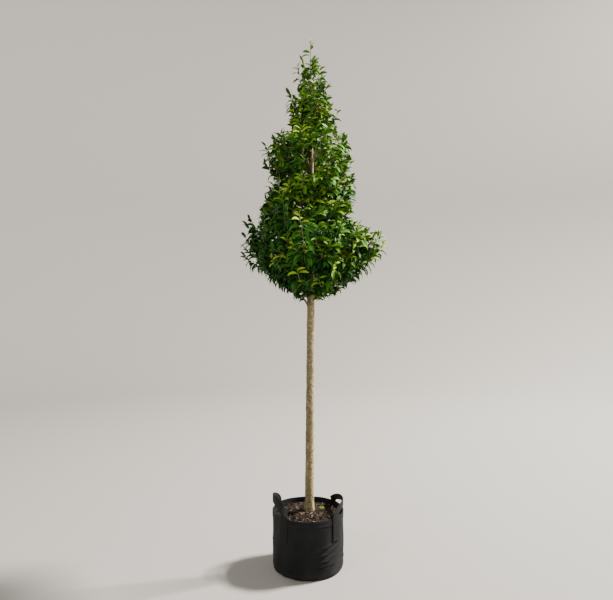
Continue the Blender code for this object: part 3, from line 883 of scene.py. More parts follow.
def chip_shape(draw, length, width, thickness):
    """A splintery flake: two uneven outlines joined by its edge."""
    outline = []
    for i in range(CHIP_CORNERS):
        turn = 2 * math.pi * (i + draw.uniform(-0.25, 0.25)) / CHIP_CORNERS
        x = 0.5 * length * math.cos(turn) * draw.uniform(0.75, 1.1)
        outline.append((x, 0.5 * width * math.sin(turn) * draw.uniform(0.7, 1.15)))
    bow = draw.uniform(-0.15, 0.15) * length
    vertices = []
    for face in (0.5, -0.5):
        for x, y in outline:
            arch = bow * (1 - (2 * x / length) ** 2)
            level = face * thickness * draw.uniform(0.6, 1.1)
            vertices.append(Vector((x * 0.96, y * 0.96, level + arch)))
    faces = cap_faces(0, CHIP_CORNERS)
    faces += [quad[::-1] for quad in cap_faces(CHIP_CORNERS, CHIP_CORNERS)]
    for i in range(CHIP_CORNERS):
        j = (i + 1) % CHIP_CORNERS
        faces.append((i, CHIP_CORNERS + i, CHIP_CORNERS + j, j))
    return vertices, faces


def make_chips(materials):
    """Bark chips lying on the soil, larger ones first, keeping off the trunk."""
    draw = random.Random(CHIP_SEED)
    heap = Heap()
    edge = BAG_RADIUS - BAG_WALL - 0.004
    trunk = trunk_centre(SOIL_TOP)
    largest, smallest = CHIP_LENGTHS
    for i in range(CHIP_COUNT):
        length = (largest + (smallest - largest) * i / CHIP_COUNT) * draw.uniform(0.7, 1.3)
        width = length * draw.uniform(0.12, 0.34)
        thickness = draw.uniform(0.0010, 0.0022)
        radius = min(edge * math.sqrt(draw.random()), edge - 0.5 * length)
        turn = draw.uniform(0.0, 2 * math.pi)
        x, y = radius * math.cos(turn), radius * math.sin(turn)
        if math.hypot(x - trunk.x, y - trunk.y) < 0.030 + 0.4 * length:
            continue
        lift = draw.uniform(0.0005, 0.0045)
        tilt = math.radians(draw.gauss(0.0, 26.0))
        spin = draw.uniform(0.0, 2 * math.pi)
        roll = math.radians(draw.gauss(0.0, 22.0))
        matrix = Matrix.Translation((x, y, soil_height(x, y) + lift))
        for angle, axis in ((spin, "Z"), (tilt, "Y"), (roll, "X")):
            matrix = matrix @ Matrix.Rotation(angle, 4, axis)
        vertices, faces = chip_shape(draw, length, width, thickness)
        kind = draw.choices(range(len(materials)), CHIP_WEIGHTS)[0]
        heap.add(([matrix @ v for v in vertices], faces), kind)
    heap.piece("mulch_chips", "bark_mulch", materials, smooth=30)


# Leaves


# Along a leaf: how far, and its half-width and thickness as shares of the full ones. The first
# stretch is the petiole.
LEAF_STATIONS = (
    (0.000, 0.025, 1.5),
    (0.100, 0.050, 1.2),
    (0.250, 0.780, 1.0),
    (0.475, 1.000, 0.9),
    (0.700, 0.800, 0.8),
    (0.875, 0.400, 0.6),
    (1.000, 0.030, 0.3),
)
LEAF_THICKNESS = 0.0008
FINE_STEPS = 40


class Leaves:
    """Leaves of many sizes and bends, gathered as rows and then built all at once."""

    def __init__(self):
        self.rows = []

    def add(self, base, ahead, face, length, width, bend, fold, sweep, roll, tint):
        """Bend is how far the leaf arches back from its face, fold how far its halves lift from
        the rib, sweep how far it curves sideways, and roll turns its blade about the rib."""
        measures = (length, width, bend, fold, sweep, roll, tint)
        self.rows.append((*base, *ahead, *face, *measures))

    def build(self, name, materials):
        """Each leaf is a closed blade with a folded rib, arching back from where it starts."""
        rows = np.array(self.rows)
        base, ahead, face = rows[:, 0:3], rows[:, 3:6], rows[:, 6:9]
        length, width, bend, fold, sweep, roll = (rows[:, i][:, None] for i in range(9, 15))
        side = np.cross(ahead, face)
        steps = np.linspace(0.0, 1.0, FINE_STEPS + 1)
        angles = bend * np.clip((steps - 0.04) / 0.96, 0.0, 1.0) ** 1.15
        start = np.zeros((len(rows), 1))
        run = np.concatenate((start, np.cumsum(np.cos(angles[:, :-1]), axis=1)), axis=1)
        drop = np.concatenate((start, np.cumsum(np.sin(angles[:, :-1]), axis=1)), axis=1)
        corners = []
        for station, half, thick in LEAF_STATIONS:
            step = round(station * FINE_STEPS)
            angle, along, down = (values[:, step][:, None] for values in (angles, run, drop))
            middle = base + (ahead * along - face * down) * length / FINE_STEPS
            middle = middle + side * sweep * length * station**2
            upright = face * np.cos(angle) + ahead * np.sin(angle)
            turned = roll * min(1.0, station / 0.3)
            normal = upright * np.cos(turned) + side * np.sin(turned)
            across = side * np.cos(turned) - upright * np.sin(turned)
            out = across * (0.5 * width * half * np.cos(fold))
            lift = normal * (0.5 * width * half * np.sin(fold))
            rise = normal * (0.5 * LEAF_THICKNESS * thick)
            corners += [middle - out + lift, middle + rise, middle + out + lift, middle - rise]
        count = len(LEAF_STATIONS)
        ends = [(3, 2, 1, 0), [4 * (count - 1) + k for k in range(4)]]
        quads = np.concatenate((grid_faces(count, 4), ends))
        column = np.concatenate((np.tile(np.arange(4), count - 1), (0, 0)))
        station = np.concatenate((np.repeat(np.arange(count - 1), 4), (0, count)))
        first = np.arange(len(rows)) * 4 * count
        faces = (quads + first[:, None, None]).reshape(-1, 4)
        kinds = 1 + 2 * rows[:, 15][:, None] + (column >= 2)
        kinds = np.where(station == 0, 0, kinds).reshape(-1)
        vertices = np.stack(corners, axis=1).reshape(-1, 3)
        return new_piece(name, "foliage", vertices, faces, materials, kinds, smooth=48)


@dataclass(frozen=True)
class Tint:
    """A leaf colour: its upper side, its underside and the upper side's roughness."""

    name: str
    upper: tuple
    under: tuple
    roughness: float


TINTS = (
    Tint("deep", (0.012, 0.055, 0.008), (0.019, 0.056, 0.013), 0.42),
    Tint("green", (0.024, 0.098, 0.008), (0.030, 0.088, 0.017), 0.43),
    Tint("fresh", (0.058, 0.155, 0.008), (0.054, 0.126, 0.021), 0.44),
    Tint("lime", (0.112, 0.225, 0.009), (0.084, 0.166, 0.026), 0.46),
    Tint("young", (0.205, 0.305, 0.020), (0.155, 0.235, 0.040), 0.48),
    Tint("amber", (0.250, 0.150, 0.022), (0.225, 0.155, 0.042), 0.48),
)
DEEP, GREEN, FRESH, LIME, YOUNG, AMBER = range(len(TINTS))


def leaf_materials():
    """The petioles' material, then each tint's upper side and underside."""
    made = [plain("petiole", (0.120, 0.150, 0.035), 0.5)]
    for tint in TINTS:
        made.append(plain(f"leaf_{tint.name}", tint.upper, tint.roughness, 0.05))
        made.append(plain(f"leaf_{tint.name}_under", tint.under, 0.62, 0.08))
    return made


# Crown


# Wood: radius at the base, the share of it left at the tip, rings and sides
BOUGH_RADIUS, BOUGH_LEAST_RADIUS = 0.0055, 0.0034
BOUGH_THINNING = 0.93
BOUGH_TAPER = 0.62
BOUGH_FLARE, BOUGH_FLARE_RUN = 0.85, 0.010
BOUGH_RINGS, BOUGH_SIDES = 22, 14
STEM_RADIUS, STEM_TAPER = 0.0034, 0.40
STEM_RINGS, STEM_SIDES = 26, 8
TWIG_RADIUS = 0.0021
SHOOT_RADIUS, SHOOT_TAPER = 0.0015, 0.45
SHOOT_RINGS, SHOOT_SIDES = 10, 6
SPINE_POINTS = 40

# Space: how far masses keep apart, and where twigs and shoots reach for. Depths below the
# crown's outline are shares of the outer shell.
ROOM = 0.0015
OUTER_SHELL = 0.046
TARGET_DRAWS = 950
TARGET_SPREAD = 75.0
TARGET_MARGIN = 0.10
TWIG_DEPTHS = (0.7, 1.4)
SHOOT_DEPTHS = (0.7, 3.4)
LEAST_REACH = 0.015
LEAST_BRANCH = 0.03
LEAVING_SHARES = [i / 20 for i in range(2, 19)]
UPTURN = 0.28

# Leaves on a shoot: their size and spacing, how far they turn out, and how their lift and bend
# in degrees change from the tip down and at the foot of the crown
LEAF_LENGTH, LEAF_WIDTH_SHARE, TIP_LEAF_SHARE = 0.075, 0.34, 0.58
LEAFY_LENGTH = 0.290
INTERNODE = 0.0105
LEADER_APART, LEADER_TURN = 1.5, 117.5
RANK_SPREAD = 30.0
FACING, TO_THE_LIGHT = 52.0, 0.45
UPRIGHT_LEAVES = 6
LIFT_AT_TIP, LIFT_FALL, LIFT_LOW = 58.0, 36.0, 40.0
BEND_AT_TIP, BEND_GROWTH, BEND_LIMIT = 42.0, 58.0, 96.0
HANGING_BELOW, HANGING_DEPTH = 1.66, 0.20

# How far leaves may pass the crown's outline, their highest place, and how far they reach over
# the tip of a shoot
CROWN_SLACK, LEADER_SLACK, STANDING_SLACK = 0.012, 0.065, 0.070
LEAF_TOP = TOP_HEIGHT + 0.006
LEAVES_ABOVE = 0.022

# How often leaves are darker or paler than their spray
DARKER_CHANCE, PALER_CHANCE = 0.45, 0.50
YOUNG_CHANCE, AMBER_CHANCE = 0.07, 0.03
AMBER_ABOVE = 2.25
TIP_LEAVES = 5

# Where the trunk shows through the front of the crown, and the way that light comes to it
WINDOW_LOW, WINDOW_HIGH = 2.050, 2.185
WINDOW_HALF = 0.022
WINDOW_MIDDLE = Vector((0.014, -0.010, 2.120))
WINDOW_LIGHT = Vector((0.67, 0.22, 0.71)).normalized()
WINDOW_BEAM = 0.060

# The colour of a spray is painted light: paler as painted sunlight to the right and upwards, deeper
# as painted shade to the left and low, more steeply below a level, with some random scatter: each
# tint holds below its limit
LIGHT_ACROSS, LIGHT_UP, LIGHT_BELOW, LIGHT_LEVEL = 0.72, 0.32, 0.55, 1.95
LIGHT_SCATTER = 0.15
TINT_LIMITS = ((-0.19, DEEP), (0.03, GREEN), (0.22, FRESH), (math.inf, LIME))

# Shoots that stand out of the crown: where each turns up, where its highest leaves reach, and its
# leaves' colours below and at the tip, fresher and lime on the right and green on the left as painted
# light
STANDING_SHOOTS = (
    ((0.348, 0.000, 1.642), (0.394, 0.000, 1.797), LIME, LIME),
    ((0.318, -0.030, 1.619), (0.354, -0.020, 1.806), FRESH, LIME),
    ((0.293, 0.040, 1.645), (0.330, 0.030, 1.801), FRESH, FRESH),
    ((0.368, 0.030, 1.623), (0.411, 0.030, 1.753), LIME, YOUNG),
    ((0.300, -0.060, 1.580), (0.345, -0.060, 1.690), FRESH, LIME),
    ((0.330, -0.060, 1.640), (0.372, -0.050, 1.785), FRESH, LIME),
    ((0.340, 0.070, 1.620), (0.385, 0.075, 1.735), FRESH, LIME),
    ((-0.289, 0.000, 1.648), (-0.336, 0.000, 1.712), GREEN, GREEN),
    ((-0.300, 0.050, 1.600), (-0.345, 0.045, 1.680), GREEN, FRESH),
    ((-0.290, -0.060, 1.690), (-0.335, -0.055, 1.775), GREEN, GREEN),
    ((-0.285, 0.040, 1.750), (-0.330, 0.045, 1.845), GREEN, FRESH),
    ((-0.262, 0.000, 1.780), (-0.312, 0.000, 1.872), GREEN, GREEN),
    ((-0.205, 0.000, 1.880), (-0.225, 0.000, 1.980), GREEN, FRESH),
    ((-0.203, 0.000, 2.167), (-0.225, 0.000, 2.263), GREEN, FRESH),
    ((-0.143, -0.030, 2.186), (-0.154, -0.030, 2.279), GREEN, FRESH),
    ((-0.180, -0.040, 2.062), (-0.233, -0.030, 2.170), GREEN, GREEN),
    ((0.123, 0.000, 2.354), (0.161, 0.000, 2.456), FRESH, LIME),
    ((0.155, 0.000, 2.221), (0.187, 0.000, 2.312), FRESH, LIME),
    ((-0.086, 0.000, 2.467), (-0.099, 0.000, 2.552), GREEN, FRESH),
    ((-0.048, 0.000, 2.595), (-0.056, 0.000, 2.686), FRESH, LIME),
    ((0.045, 0.010, 2.560), (0.062, 0.010, 2.690), FRESH, LIME),
    ((0.020, -0.030, 2.620), (0.036, -0.030, 2.712), FRESH, LIME),
    ((-0.010, 0.020, 2.650), (-0.030, 0.015, 2.728), FRESH, LIME),
    ((-0.010, -0.370, 1.653), (-0.044, -0.320, 1.858), GREEN, YOUNG),
    ((-0.030, -0.270, 1.466), (-0.053, -0.330, 1.585), GREEN, YOUNG),
    ((-0.163, -0.250, 1.545), (-0.177, -0.290, 1.645), GREEN, YOUNG),
    ((-0.114, -0.250, 1.869), (-0.131, -0.250, 1.958), GREEN, LIME),
    ((0.114, -0.200, 2.018), (0.106, -0.150, 2.196), FRESH, LIME),
    ((0.122, -0.250, 1.540), (0.134, -0.310, 1.615), FRESH, YOUNG),
    ((0.060, -0.200, 1.468), (0.053, -0.250, 1.550), GREEN, LIME),
    ((-0.040, -0.250, 1.958), (-0.026, -0.200, 2.067), FRESH, LIME),
    ((0.045, 0.320, 1.600), (0.055, 0.368, 1.735), GREEN, FRESH),
    ((-0.070, 0.315, 1.640), (-0.080, 0.362, 1.770), GREEN, FRESH),
    ((0.120, 0.300, 1.560), (0.150, 0.350, 1.680), FRESH, FRESH),
    ((-0.010, 0.290, 1.500), (-0.015, 0.355, 1.620), GREEN, GREEN),
)


class Mass:
    """One mass of foliage: the bough that carries it, its stem and its space in the crown."""

    def __init__(self, tier, index, order):
        self.suffix = f"{tier.name}_{index + 1}" if tier.count > 1 else tier.name
        self.tier = tier
        self.order = order
        self.azimuth = tier.first + tier.step * index
        self.random = random.Random(SEED + order)
        root = trunk_centre(tier.root + tier.rise * index)
        tip = self.stem_tip(tier.tip + tier.rise * index)
        self.bough = []
        if tier.bough:
            reach, lift = tier.bough
            end = root + polar(reach, self.azimuth, lift)
            bend = root + polar(0.35 * reach, self.azimuth, 0.55 * lift)
            self.bough = curve_through(root, bend, end, BOUGH_RINGS)
        start = self.bough[-1] if self.bough else root
        out = (tip - start) * 0.5
        bend = start + Vector((out.x * 1.15, out.y * 1.15, out.z * 0.75))
        self.stem = curve_through(start, bend, tip, STEM_RINGS)
        self.spine = KDTree(SPINE_POINTS)
        for i in range(SPINE_POINTS):
            self.spine.insert(point_along(self.stem, i / (SPINE_POINTS - 1))[0], i)
        self.spine.balance()
        self.limbs = [self.stem]

    def stem_tip(self, height):
        """Where the stem ends: inside the crown's outline, or for the leader on the trunk's line."""
        if self.tier.root == TRUNK_TOP:
            return trunk_centre(height)
        reach = crown_reach(self.azimuth, height) - OUTER_SHELL * self.tier.leaf_size
        return trunk_centre(height) + polar(reach, self.azimuth, 0.0)

    def owns(self, point):
        """Whether a point is in the crown and nearer to this stem than to any other."""
        if room_left(point) < 0.0:
            return False
        own = self.spine.find(point)[2] + 2 * ROOM
        return all(own <= other.spine.find(point)[2] for other in masses if other is not self)

    def targets(self, count, depths, given):
        """Well-spread places near the crown's outline, in the mass's own space."""
        found = []
        low = self.stem[0].z - TARGET_MARGIN
        high = self.stem[-1].z + TARGET_MARGIN
        for _ in range(TARGET_DRAWS):
            height = self.random.uniform(low, high)
            azimuth = self.azimuth + self.random.uniform(-TARGET_SPREAD, TARGET_SPREAD)
            depth = self.random.uniform(*depths) * OUTER_SHELL * self.tier.leaf_size
            reach = crown_reach(azimuth, height) - depth
            if reach <= LEAST_REACH:
                continue
            point = trunk_centre(height) + polar(reach, azimuth, 0.0)
            if self.owns(point):
                found.append(point)
        chosen = list(given)
        while found and len(chosen) < len(given) + count:
            best = max(found, key=lambda p: min((p - q).length for q in chosen))
            chosen.append(best)
            found.remove(best)
        return chosen[len(given) :]

    def leaving(self, target):
        """The place on a limb, and the limb's direction there, that a branch best leaves from."""
        choices = []
        for number, limb in enumerate(self.limbs):
            for share in LEAVING_SHARES:
                place, along = point_along(limb, share)
                reach = target - place
                if reach.length < LEAST_BRANCH:
                    continue
                cost = reach.length * (1.6 - reach.normalized().dot(along))
                choices.append((cost, number, share))
        _, number, share = min(choices)
        return point_along(self.limbs[number], share)

    def branch_path(self, target):
        """A curve that leaves a limb below its target and bends up and out to it."""
        place, along = self.leaving(target)
        bend = place + along * (target - place).length * 0.35
        return curve_through(place, bend.lerp(target, 0.25), target, SHOOT_RINGS)

    def shoot_path(self, target):
        """A curve that leaves a limb and turns up at its end."""
        place, _ = self.leaving(target)
        reach = target - place
        level = math.hypot(reach.x, reach.y)
        height = min(place.z + 0.45 * reach.z, target.z - UPTURN * level)
        bend = Vector((place.x + 0.80 * reach.x, place.y + 0.80 * reach.y, height))
        return curve_through(place, bend, target, SHOOT_RINGS)


def spray_painted_light_tint(tip, draw):
    """Painted light: deep on the left and low as painted shade, fresher to the right and top as
    painted sunlight.
    """
    above = tip.z - LIGHT_LEVEL
    light = LIGHT_ACROSS * tip.x + LIGHT_UP * above + draw.gauss(0.0, LIGHT_SCATTER)
    light += LIGHT_BELOW * min(0.0, above)
    return next(tint for limit, tint in TINT_LIMITS if light < limit)


def tip_colour(tint, draw, tip):
    """Young leaves at a shoot's tip, on some shoots paler than the rest of it."""
    if tip.x > 0.0 and tip.z > AMBER_ABOVE and draw.random() < AMBER_CHANCE:
        return AMBER
    if draw.random() < YOUNG_CHANCE:
        return YOUNG
    if draw.random() < PALER_CHANCE:
        return min(LIME, tint + 1)
    return tint


def hides_trunk(place):
    """Whether a place is where the trunk shows through the crown, or where light falls on it."""
    reach = place - WINDOW_MIDDLE
    along = reach.dot(WINDOW_LIGHT)
    if along > 0.0 and (reach - WINDOW_LIGHT * along).length < WINDOW_BEAM:
        return True
    if place.z > TRUNK_TOP:
        return False
    away = place - trunk_centre(place.z)
    if math.hypot(away.x, away.y) < trunk_radius(place.z) + 0.004:
        return True
    return WINDOW_LOW < place.z < WINDOW_HIGH and abs(away.x) < WINDOW_HALF and away.y < 0


def dress(mass, path, leaves, draw, tint, tip_tint, slack=CROWN_SLACK, apart=1.0):
    """Leaves in two ranks down a shoot: small, upright and pale at its tip, and arching over to
    hang below. Their blades turn out to the light, and hang most at the foot of the crown."""
    length = path_length(path)
    step = INTERNODE * (0.5 + 0.5 * mass.tier.leaf_size) * apart
    count = max(4, int(min(LEAFY_LENGTH, 0.93 * length) / step))
    size = LEAF_LENGTH * mass.tier.leaf_size
    set_off = draw.gauss(0.0, RANK_SPREAD)
    for i in range(count):
        place, _ = point_along(path, max(0.02, 1.0 - (i * step + 0.003) / length))
        age = min(1.0, i / UPRIGHT_LEAVES)
        outward = place - trunk_centre(place.z)
        outward.z = 0.0
        if outward.length < 0.004:
            outward = polar(1.0, LEADER_TURN * i, 0.0)
        outward.normalize()
        turn = set_off + 180.0 * (i % 2) + draw.gauss(0.0, 15.0 + 20.0 * (1.0 - age))
        out = Matrix.Rotation(math.radians(turn), 3, UP) @ UP.cross(outward)
        out = (out + outward * TO_THE_LIGHT).normalized()
        low = min(1.0, max(0.0, (HANGING_BELOW - place.z) / HANGING_DEPTH))
        lift = LIFT_AT_TIP - LIFT_FALL * age - LIFT_LOW * low
        lift = math.radians(lift + draw.gauss(0.0, 7.0))
        bend = math.radians(BEND_AT_TIP + BEND_GROWTH * age + draw.gauss(0.0, 9.0))
        bend = max(0.1, min(bend, lift + math.radians(BEND_LIMIT)))
        ahead = out * math.cos(lift) + UP * math.sin(lift)
        face = UP * math.cos(lift) - out * math.sin(lift)
        roll = math.radians(FACING * ahead.cross(face).dot(outward) + draw.gauss(0.0, 8.0))
        grown = TIP_LEAF_SHARE + (1.0 - TIP_LEAF_SHARE) * age
        long = size * grown * draw.uniform(0.84, 1.12)
        tip = place + ahead * (0.70 * long) - face * (0.5 * long * math.sin(0.7 * bend))
        if room_left(tip) < -slack or tip.z > LEAF_TOP:
            continue
        if any(hides_trunk(place.lerp(tip, share)) for share in (0.4, 1.0, 1.3)):
            continue
        colour = tip_tint if i < TIP_LEAVES else tint
        if i > UPRIGHT_LEAVES and draw.random() < DARKER_CHANCE:
            colour = max(DEEP, tint - 1)
        width = long * LEAF_WIDTH_SHARE * draw.uniform(0.88, 1.12)
        fold = math.radians(draw.uniform(14.0, 32.0))
        leaves.add(place, ahead, face, long, width, bend, fold, draw.gauss(0.0, 0.05), roll, colour)


OLD_WOOD, YOUNG_WOOD, GREEN_WOOD = range(3)


def add_limb(heap, path, radius, kind, taper=SHOOT_TAPER, sides=SHOOT_SIDES):
    heap.add(tube(path, tapered(radius, taper, path), sides), kind)


def standing_shoots(mass):
    """The shoots that stand out of the crown and are nearest to this mass's stem."""
    for foot, tip, tint, tip_tint in STANDING_SHOOTS:
        foot, tip = Vector(foot), Vector(tip) - UP * LEAVES_ABOVE
        if mass is min(masses, key=lambda each: each.spine.find(foot)[2]):
            place, _ = mass.leaving(foot)
            yield curve_through(place, foot, tip, SHOOT_RINGS), tint, tip_tint


def grow(mass, twig_heap, materials):
    """Stem, twigs and finer shoots of one mass, and its leaves."""
    leaves = Leaves()
    draw = mass.random
    tier = mass.tier
    tip = mass.stem[-1]
    add_limb(twig_heap, mass.stem, STEM_RADIUS, OLD_WOOD, STEM_TAPER, STEM_SIDES)
    tint = spray_painted_light_tint(tip, draw)
    slack, apart = (CROWN_SLACK, 1.0) if tier.count > 1 else (LEADER_SLACK, LEADER_APART)
    dress(mass, mass.stem, leaves, draw, tint, tip_colour(tint, draw, tip), slack, apart)
    twigs = mass.targets(tier.twigs, TWIG_DEPTHS, [tip])
    grown = []
    for target in twigs:
        path = mass.branch_path(target)
        grown.append((path, TWIG_RADIUS, YOUNG_WOOD))
        mass.limbs.append(path)
    for target in mass.targets(tier.shoots, SHOOT_DEPTHS, [tip] + twigs):
        grown.append((mass.shoot_path(target), SHOOT_RADIUS, GREEN_WOOD))
    for path, radius, wood in grown:
        add_limb(twig_heap, path, radius, wood)
        tint = spray_painted_light_tint(path[-1], draw)
        dress(mass, path, leaves, draw, tint, tip_colour(tint, draw, path[-1]), slack)
    for path, tint, tip_tint in standing_shoots(mass):
        add_limb(twig_heap, path, SHOOT_RADIUS, GREEN_WOOD)
        dress(mass, path, leaves, draw, tint, tip_tint, STANDING_SLACK)
    piece = leaves.build(f"leaves_{mass.suffix}", materials)
    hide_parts(f"foliage_{mass.suffix}")


def make_boughs(material):
    """The boughs, flaring where they leave the trunk."""
    heap = Heap()
    carried = [mass for mass in masses if mass.bough]
    for mass in carried:
        base = max(BOUGH_RADIUS * BOUGH_THINNING**mass.order, BOUGH_LEAST_RADIUS)
        radii = tapered(base, BOUGH_TAPER, mass.bough)
        covered = trunk_radius(mass.bough[0].z)
        for i in range(len(radii)):
            run = path_length(mass.bough[: i + 1])
            radii[i] *= 1.0 + BOUGH_FLARE * math.exp(-max(0.0, run - covered) / BOUGH_FLARE_RUN)
        heap.add(tube(mass.bough, radii, BOUGH_SIDES))
    boughs = heap.piece("bough_bark", "bough_bark", [material])
    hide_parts(*(f"bough_{mass.suffix}" for mass in carried))


# Trunk and weed


TRUNK_SIDES = 60
TRUNK_RING_STEP = 0.0042
# Where across the trunk its bark turns from painted shade, darker and a little greener, to painted
# sunlight, paler
TRUNK_PAINTED_LIGHT_SPAN = (0.008, 0.026)
KNOT_SEED = 23
KNOT_COUNT = 26
KNOT_HIGHEST = 1.36
COLLAR_HEIGHT = 1.393
CRACKS_ROUND, CRACKS_UP = 190.0, 38.0
PORES_ROUND, PORES_UP = 520.0, 260.0

WEED_AT = (0.073, 0.020)
WEED_SEED = 5
WEED_LEAVES = 9
WEED_TURN = 360.0 * 0.382
WEED_STALK_RADIUS = 0.0007


def trunk_relief(rows):
    """Relief of the bark round each ring: flutes at the foot, cracks, pores and old knots."""
    draw = random.Random(KNOT_SEED)
    spans = ((TRUNK_FOOT + 0.08, KNOT_HIGHEST), (0.0, 2 * math.pi), (0.0007, 0.0020), (0.005, 0.010))
    knots = [[draw.uniform(*span) for span in spans] for _ in range(KNOT_COUNT)]
    turns = np.arange(TRUNK_SIDES) * 2 * math.pi / TRUNK_SIDES
    relief = []
    for place in rows:
        height = place.z
        radius = trunk_radius(height)
        ring = 0.0022 * math.exp((TRUNK_FOOT - height) / 0.035) * np.cos(5.0 * turns + 0.7)
        ring += 0.0006 * np.cos(2.0 * turns + 1.7 * height)
        ring += 0.0005 * math.sin(31.0 * height) + 0.0004 * math.sin(83.0 * height + 1.0)
        collar = 0.0016 * math.exp(-(((height - COLLAR_HEIGHT) / 0.010) ** 2))
        ring += collar * (1.0 + 0.4 * np.cos(3.0 * turns))
        for level, turn, size, spread in knots:
            up = (height - level) / spread
            if abs(up) < 3.0:
                far = (angle_from(turn, turns) * radius / spread) ** 2 + up**2
                ring += size * (np.exp(-far) - 0.8 * np.exp(-far * 7.0))
        for j, turn in enumerate(turns):
            x, y = math.cos(turn) * radius, math.sin(turn) * radius
            cracks = Vector((x * CRACKS_ROUND, y * CRACKS_ROUND, height * CRACKS_UP))
            pores = Vector((x * PORES_ROUND, y * PORES_ROUND, height * PORES_UP))
            ring[j] += 0.00055 * noise.noise(cracks) + 0.00028 * noise.noise(pores)
        relief.append(ring * min(1.0, radius / 0.02))
    return relief


def make_trunk(material):
    """The trunk, from its foot in the compost to where the leading shoot starts."""
    count = int((TRUNK_TOP - TRUNK_FOOT) / TRUNK_RING_STEP)
    step = (TRUNK_TOP - TRUNK_FOOT) / count
    rows = [trunk_centre(TRUNK_FOOT + step * i) for i in range(count + 1)]
    radii = [trunk_radius(place.z) for place in rows]
    shape = tube(rows, radii, TRUNK_SIDES, trunk_relief(rows))
    trunk = new_piece("trunk_bark_relief", "trunk_bark", *shape, [material])
    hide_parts("trunk")


def make_weed(materials):
    """A seedling weed in the mulch to the right of the trunk."""
    draw = random.Random(WEED_SEED)
    leaves = Leaves()
    x, y = WEED_AT
    foot = Vector((x, y, soil_height(x, y) - 0.001))
    stalks = Heap()
    for i in range(WEED_LEAVES):
        turn = WEED_TURN * i
        lean = 0.25 + 0.065 * i
        height = 0.013 - 0.0009 * i
        top = foot + polar(height * lean, turn, height)
        path = curve_through(foot, foot + polar(0.0, turn, height * 0.6), top, 5)
        stalks.add(tube(path, [WEED_STALK_RADIUS] * 5, 6))
        ahead = polar(1.0, turn, 0.35).normalized()
        face = (UP - ahead * UP.dot(ahead)).normalized()
        length, width = draw.uniform(0.008, 0.012), draw.uniform(0.005, 0.007)
        bend, fold = math.radians(40.0), math.radians(12.0)
        leaves.add(top, ahead, face, length, width, bend, fold, 0.0, 0.0, LIME if i % 3 else YOUNG)
    stalks.piece("weed_stalks", "foliage", materials[:1])
    leaves.build("weed_leaves", materials)


# Stage: a pale floor that turns up into a wall all round


COVE_START = 6.0
COVE_ROUND = 3.5
COVE_TOP = 12.0
COVE_COLUMNS = 96
FLOOR_COLOUR = (0.29, 0.281, 0.270)
SKY_COLOUR = (1.0, 0.98, 0.94, 1.0)
SKY_STRENGTH = 0.05
SENSOR_WIDTH = 36.0

# Lights: place, aim, size, power and colour
LIGHTS = {
    "key": ((7.6, 2.5, 9.35), (0.0, 0.0, 1.35), 1.6, 7200.0, (1.0, 0.955, 0.87)),
    "fill": ((-3.4, -3.6, 4.2), (0.0, 0.0, 1.6), 0.6, 165.0, (1.0, 0.98, 0.95)),
    "back": ((-2.4, 3.2, 4.6), (0.0, 0.0, 1.8), 1.8, 60.0, (1.0, 0.97, 0.92)),
}


def add_stage_object(name, data, place=(0.0, 0.0, 0.0)):
    made = bpy.data.objects.new(name, data)
    made.location = place
    bpy.context.scene.collection.objects.link(made)
    return made


def add_camera():
    """A level camera, square on to the plant's front."""
    lens = bpy.data.cameras.new("camera")
    lens.lens = CAMERA_LENS
    lens.sensor_width = SENSOR_WIDTH
    lens.sensor_fit = "HORIZONTAL"
    camera = add_stage_object("camera", lens, CAMERA_AT)
    camera.rotation_euler = (math.radians(90.0), 0.0, 0.0)
    bpy.context.scene.camera = camera


def add_floor():
    """The pale floor, turning up into the wall."""
    profile = [(2.0, 0.0), (4.0, 0.0), (COVE_START, 0.0)]
    for i in range(1, 13):
        turn = math.radians(90.0 * i / 12)
        across = COVE_START + COVE_ROUND * math.sin(turn)
        profile.append((across, COVE_ROUND * (1.0 - math.cos(turn))))
    profile.append((COVE_START + COVE_ROUND, COVE_TOP))
    vertices = [(0.0, 0.0, 0.0)]
    for radius, height in profile:
        turns = [360.0 * j / COVE_COLUMNS for j in range(COVE_COLUMNS)]
        vertices += [tuple(polar(radius, turn, height)) for turn in turns]
    mesh = bpy.data.meshes.new("floor")
    mesh.from_pydata(vertices, [], disc_faces(len(profile), COVE_COLUMNS))
    mesh.shade_smooth()
    mesh.materials.append(plain("floor", FLOOR_COLOUR, 0.9, 0.2))
    add_stage_object("floor", mesh)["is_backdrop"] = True


def add_sky():
    """A faint even light from all round."""
    world = bpy.data.worlds.new("studio")
    world.use_nodes = True
    sky = world.node_tree.nodes["Background"]
    sky.inputs["Color"].default_value = SKY_COLOUR
    sky.inputs["Strength"].default_value = SKY_STRENGTH
    bpy.context.scene.world = world


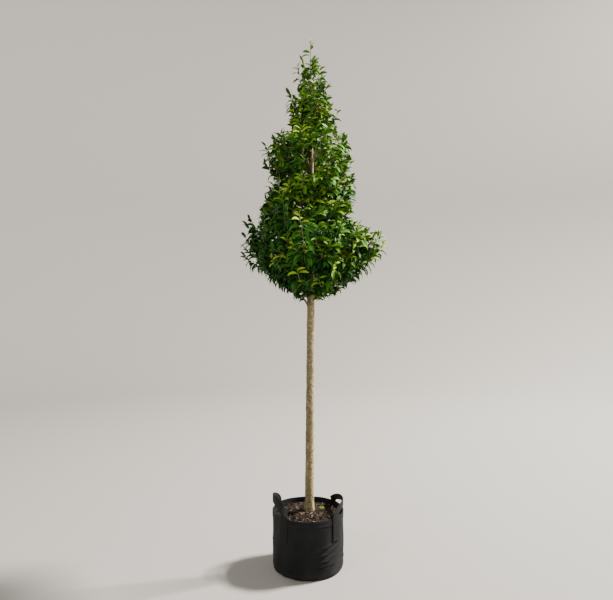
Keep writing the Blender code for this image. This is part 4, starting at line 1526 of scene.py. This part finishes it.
def add_light(name, place, aim, size, power, colour):
    light = bpy.data.lights.new(name, "AREA")
    light.size = size
    light.energy = power
    light.color = colour
    lamp = add_stage_object(name, light, place)
    lamp.rotation_euler = (Vector(aim) - Vector(place)).to_track_quat("-Z", "Y").to_euler()


add_camera()
add_floor()
add_sky()
for light_name, light_settings in LIGHTS.items():
    add_light(light_name, *light_settings)

masses = []
for tier in TIERS:
    for index in range(tier.count):
        masses.append(Mass(tier, index, len(masses)))

TRUNK_BARK = ((0.105, 0.084, 0.046), (0.205, 0.164, 0.092), (0.385, 0.315, 0.19))
BOUGH_BARK = ((0.060, 0.050, 0.028), (0.150, 0.128, 0.072), (0.26, 0.23, 0.14))
make_trunk(bark_look("trunk_bark", *TRUNK_BARK, painted_light_span=TRUNK_PAINTED_LIGHT_SPAN))
twig_look = bark_look("bough_bark", *BOUGH_BARK, scale=1.6)
make_boughs(twig_look)

leaf_looks = leaf_materials()
young_look = plain("young_wood", (0.130, 0.115, 0.050), 0.7)
green_look = plain("green_wood", (0.150, 0.170, 0.055), 0.6)
twig_heap = Heap()
for each in masses:
    grow(each, twig_heap, leaf_looks)
twig_heap.piece("twigs", "bough_bark", [twig_look, young_look, green_look])

BAG_CLOTH = ((0.0056, 0.0064, 0.0072), (0.0146, 0.0160, 0.0172))
WEBBING = ((0.0072, 0.0080, 0.0088), (0.0190, 0.0206, 0.0218))
make_bag(fabric_look("bag_fabric", 0.0016, *BAG_CLOTH, dusty=True))
webbing = fabric_look("strap_webbing", 0.0018, *WEBBING, dusty=False)
thread = plain("thread", (0.014, 0.014, 0.015), 0.75)
for handle_name, handle_azimuth in HANDLES.items():
    make_handle(handle_name, handle_azimuth, webbing)
make_hem_stitches(thread)
make_strap_stitches(thread)

make_soil(soil_look())
make_chips([chip_look(f"chip_{i + 1}", colour) for i, colour in enumerate(CHIP_COLOURS)])
make_weed(leaf_looks)

boxes = {"cad": CAD_BOX, "visual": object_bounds()}
{key: [list(corner) for corner in box] for key, box in boxes.items()}
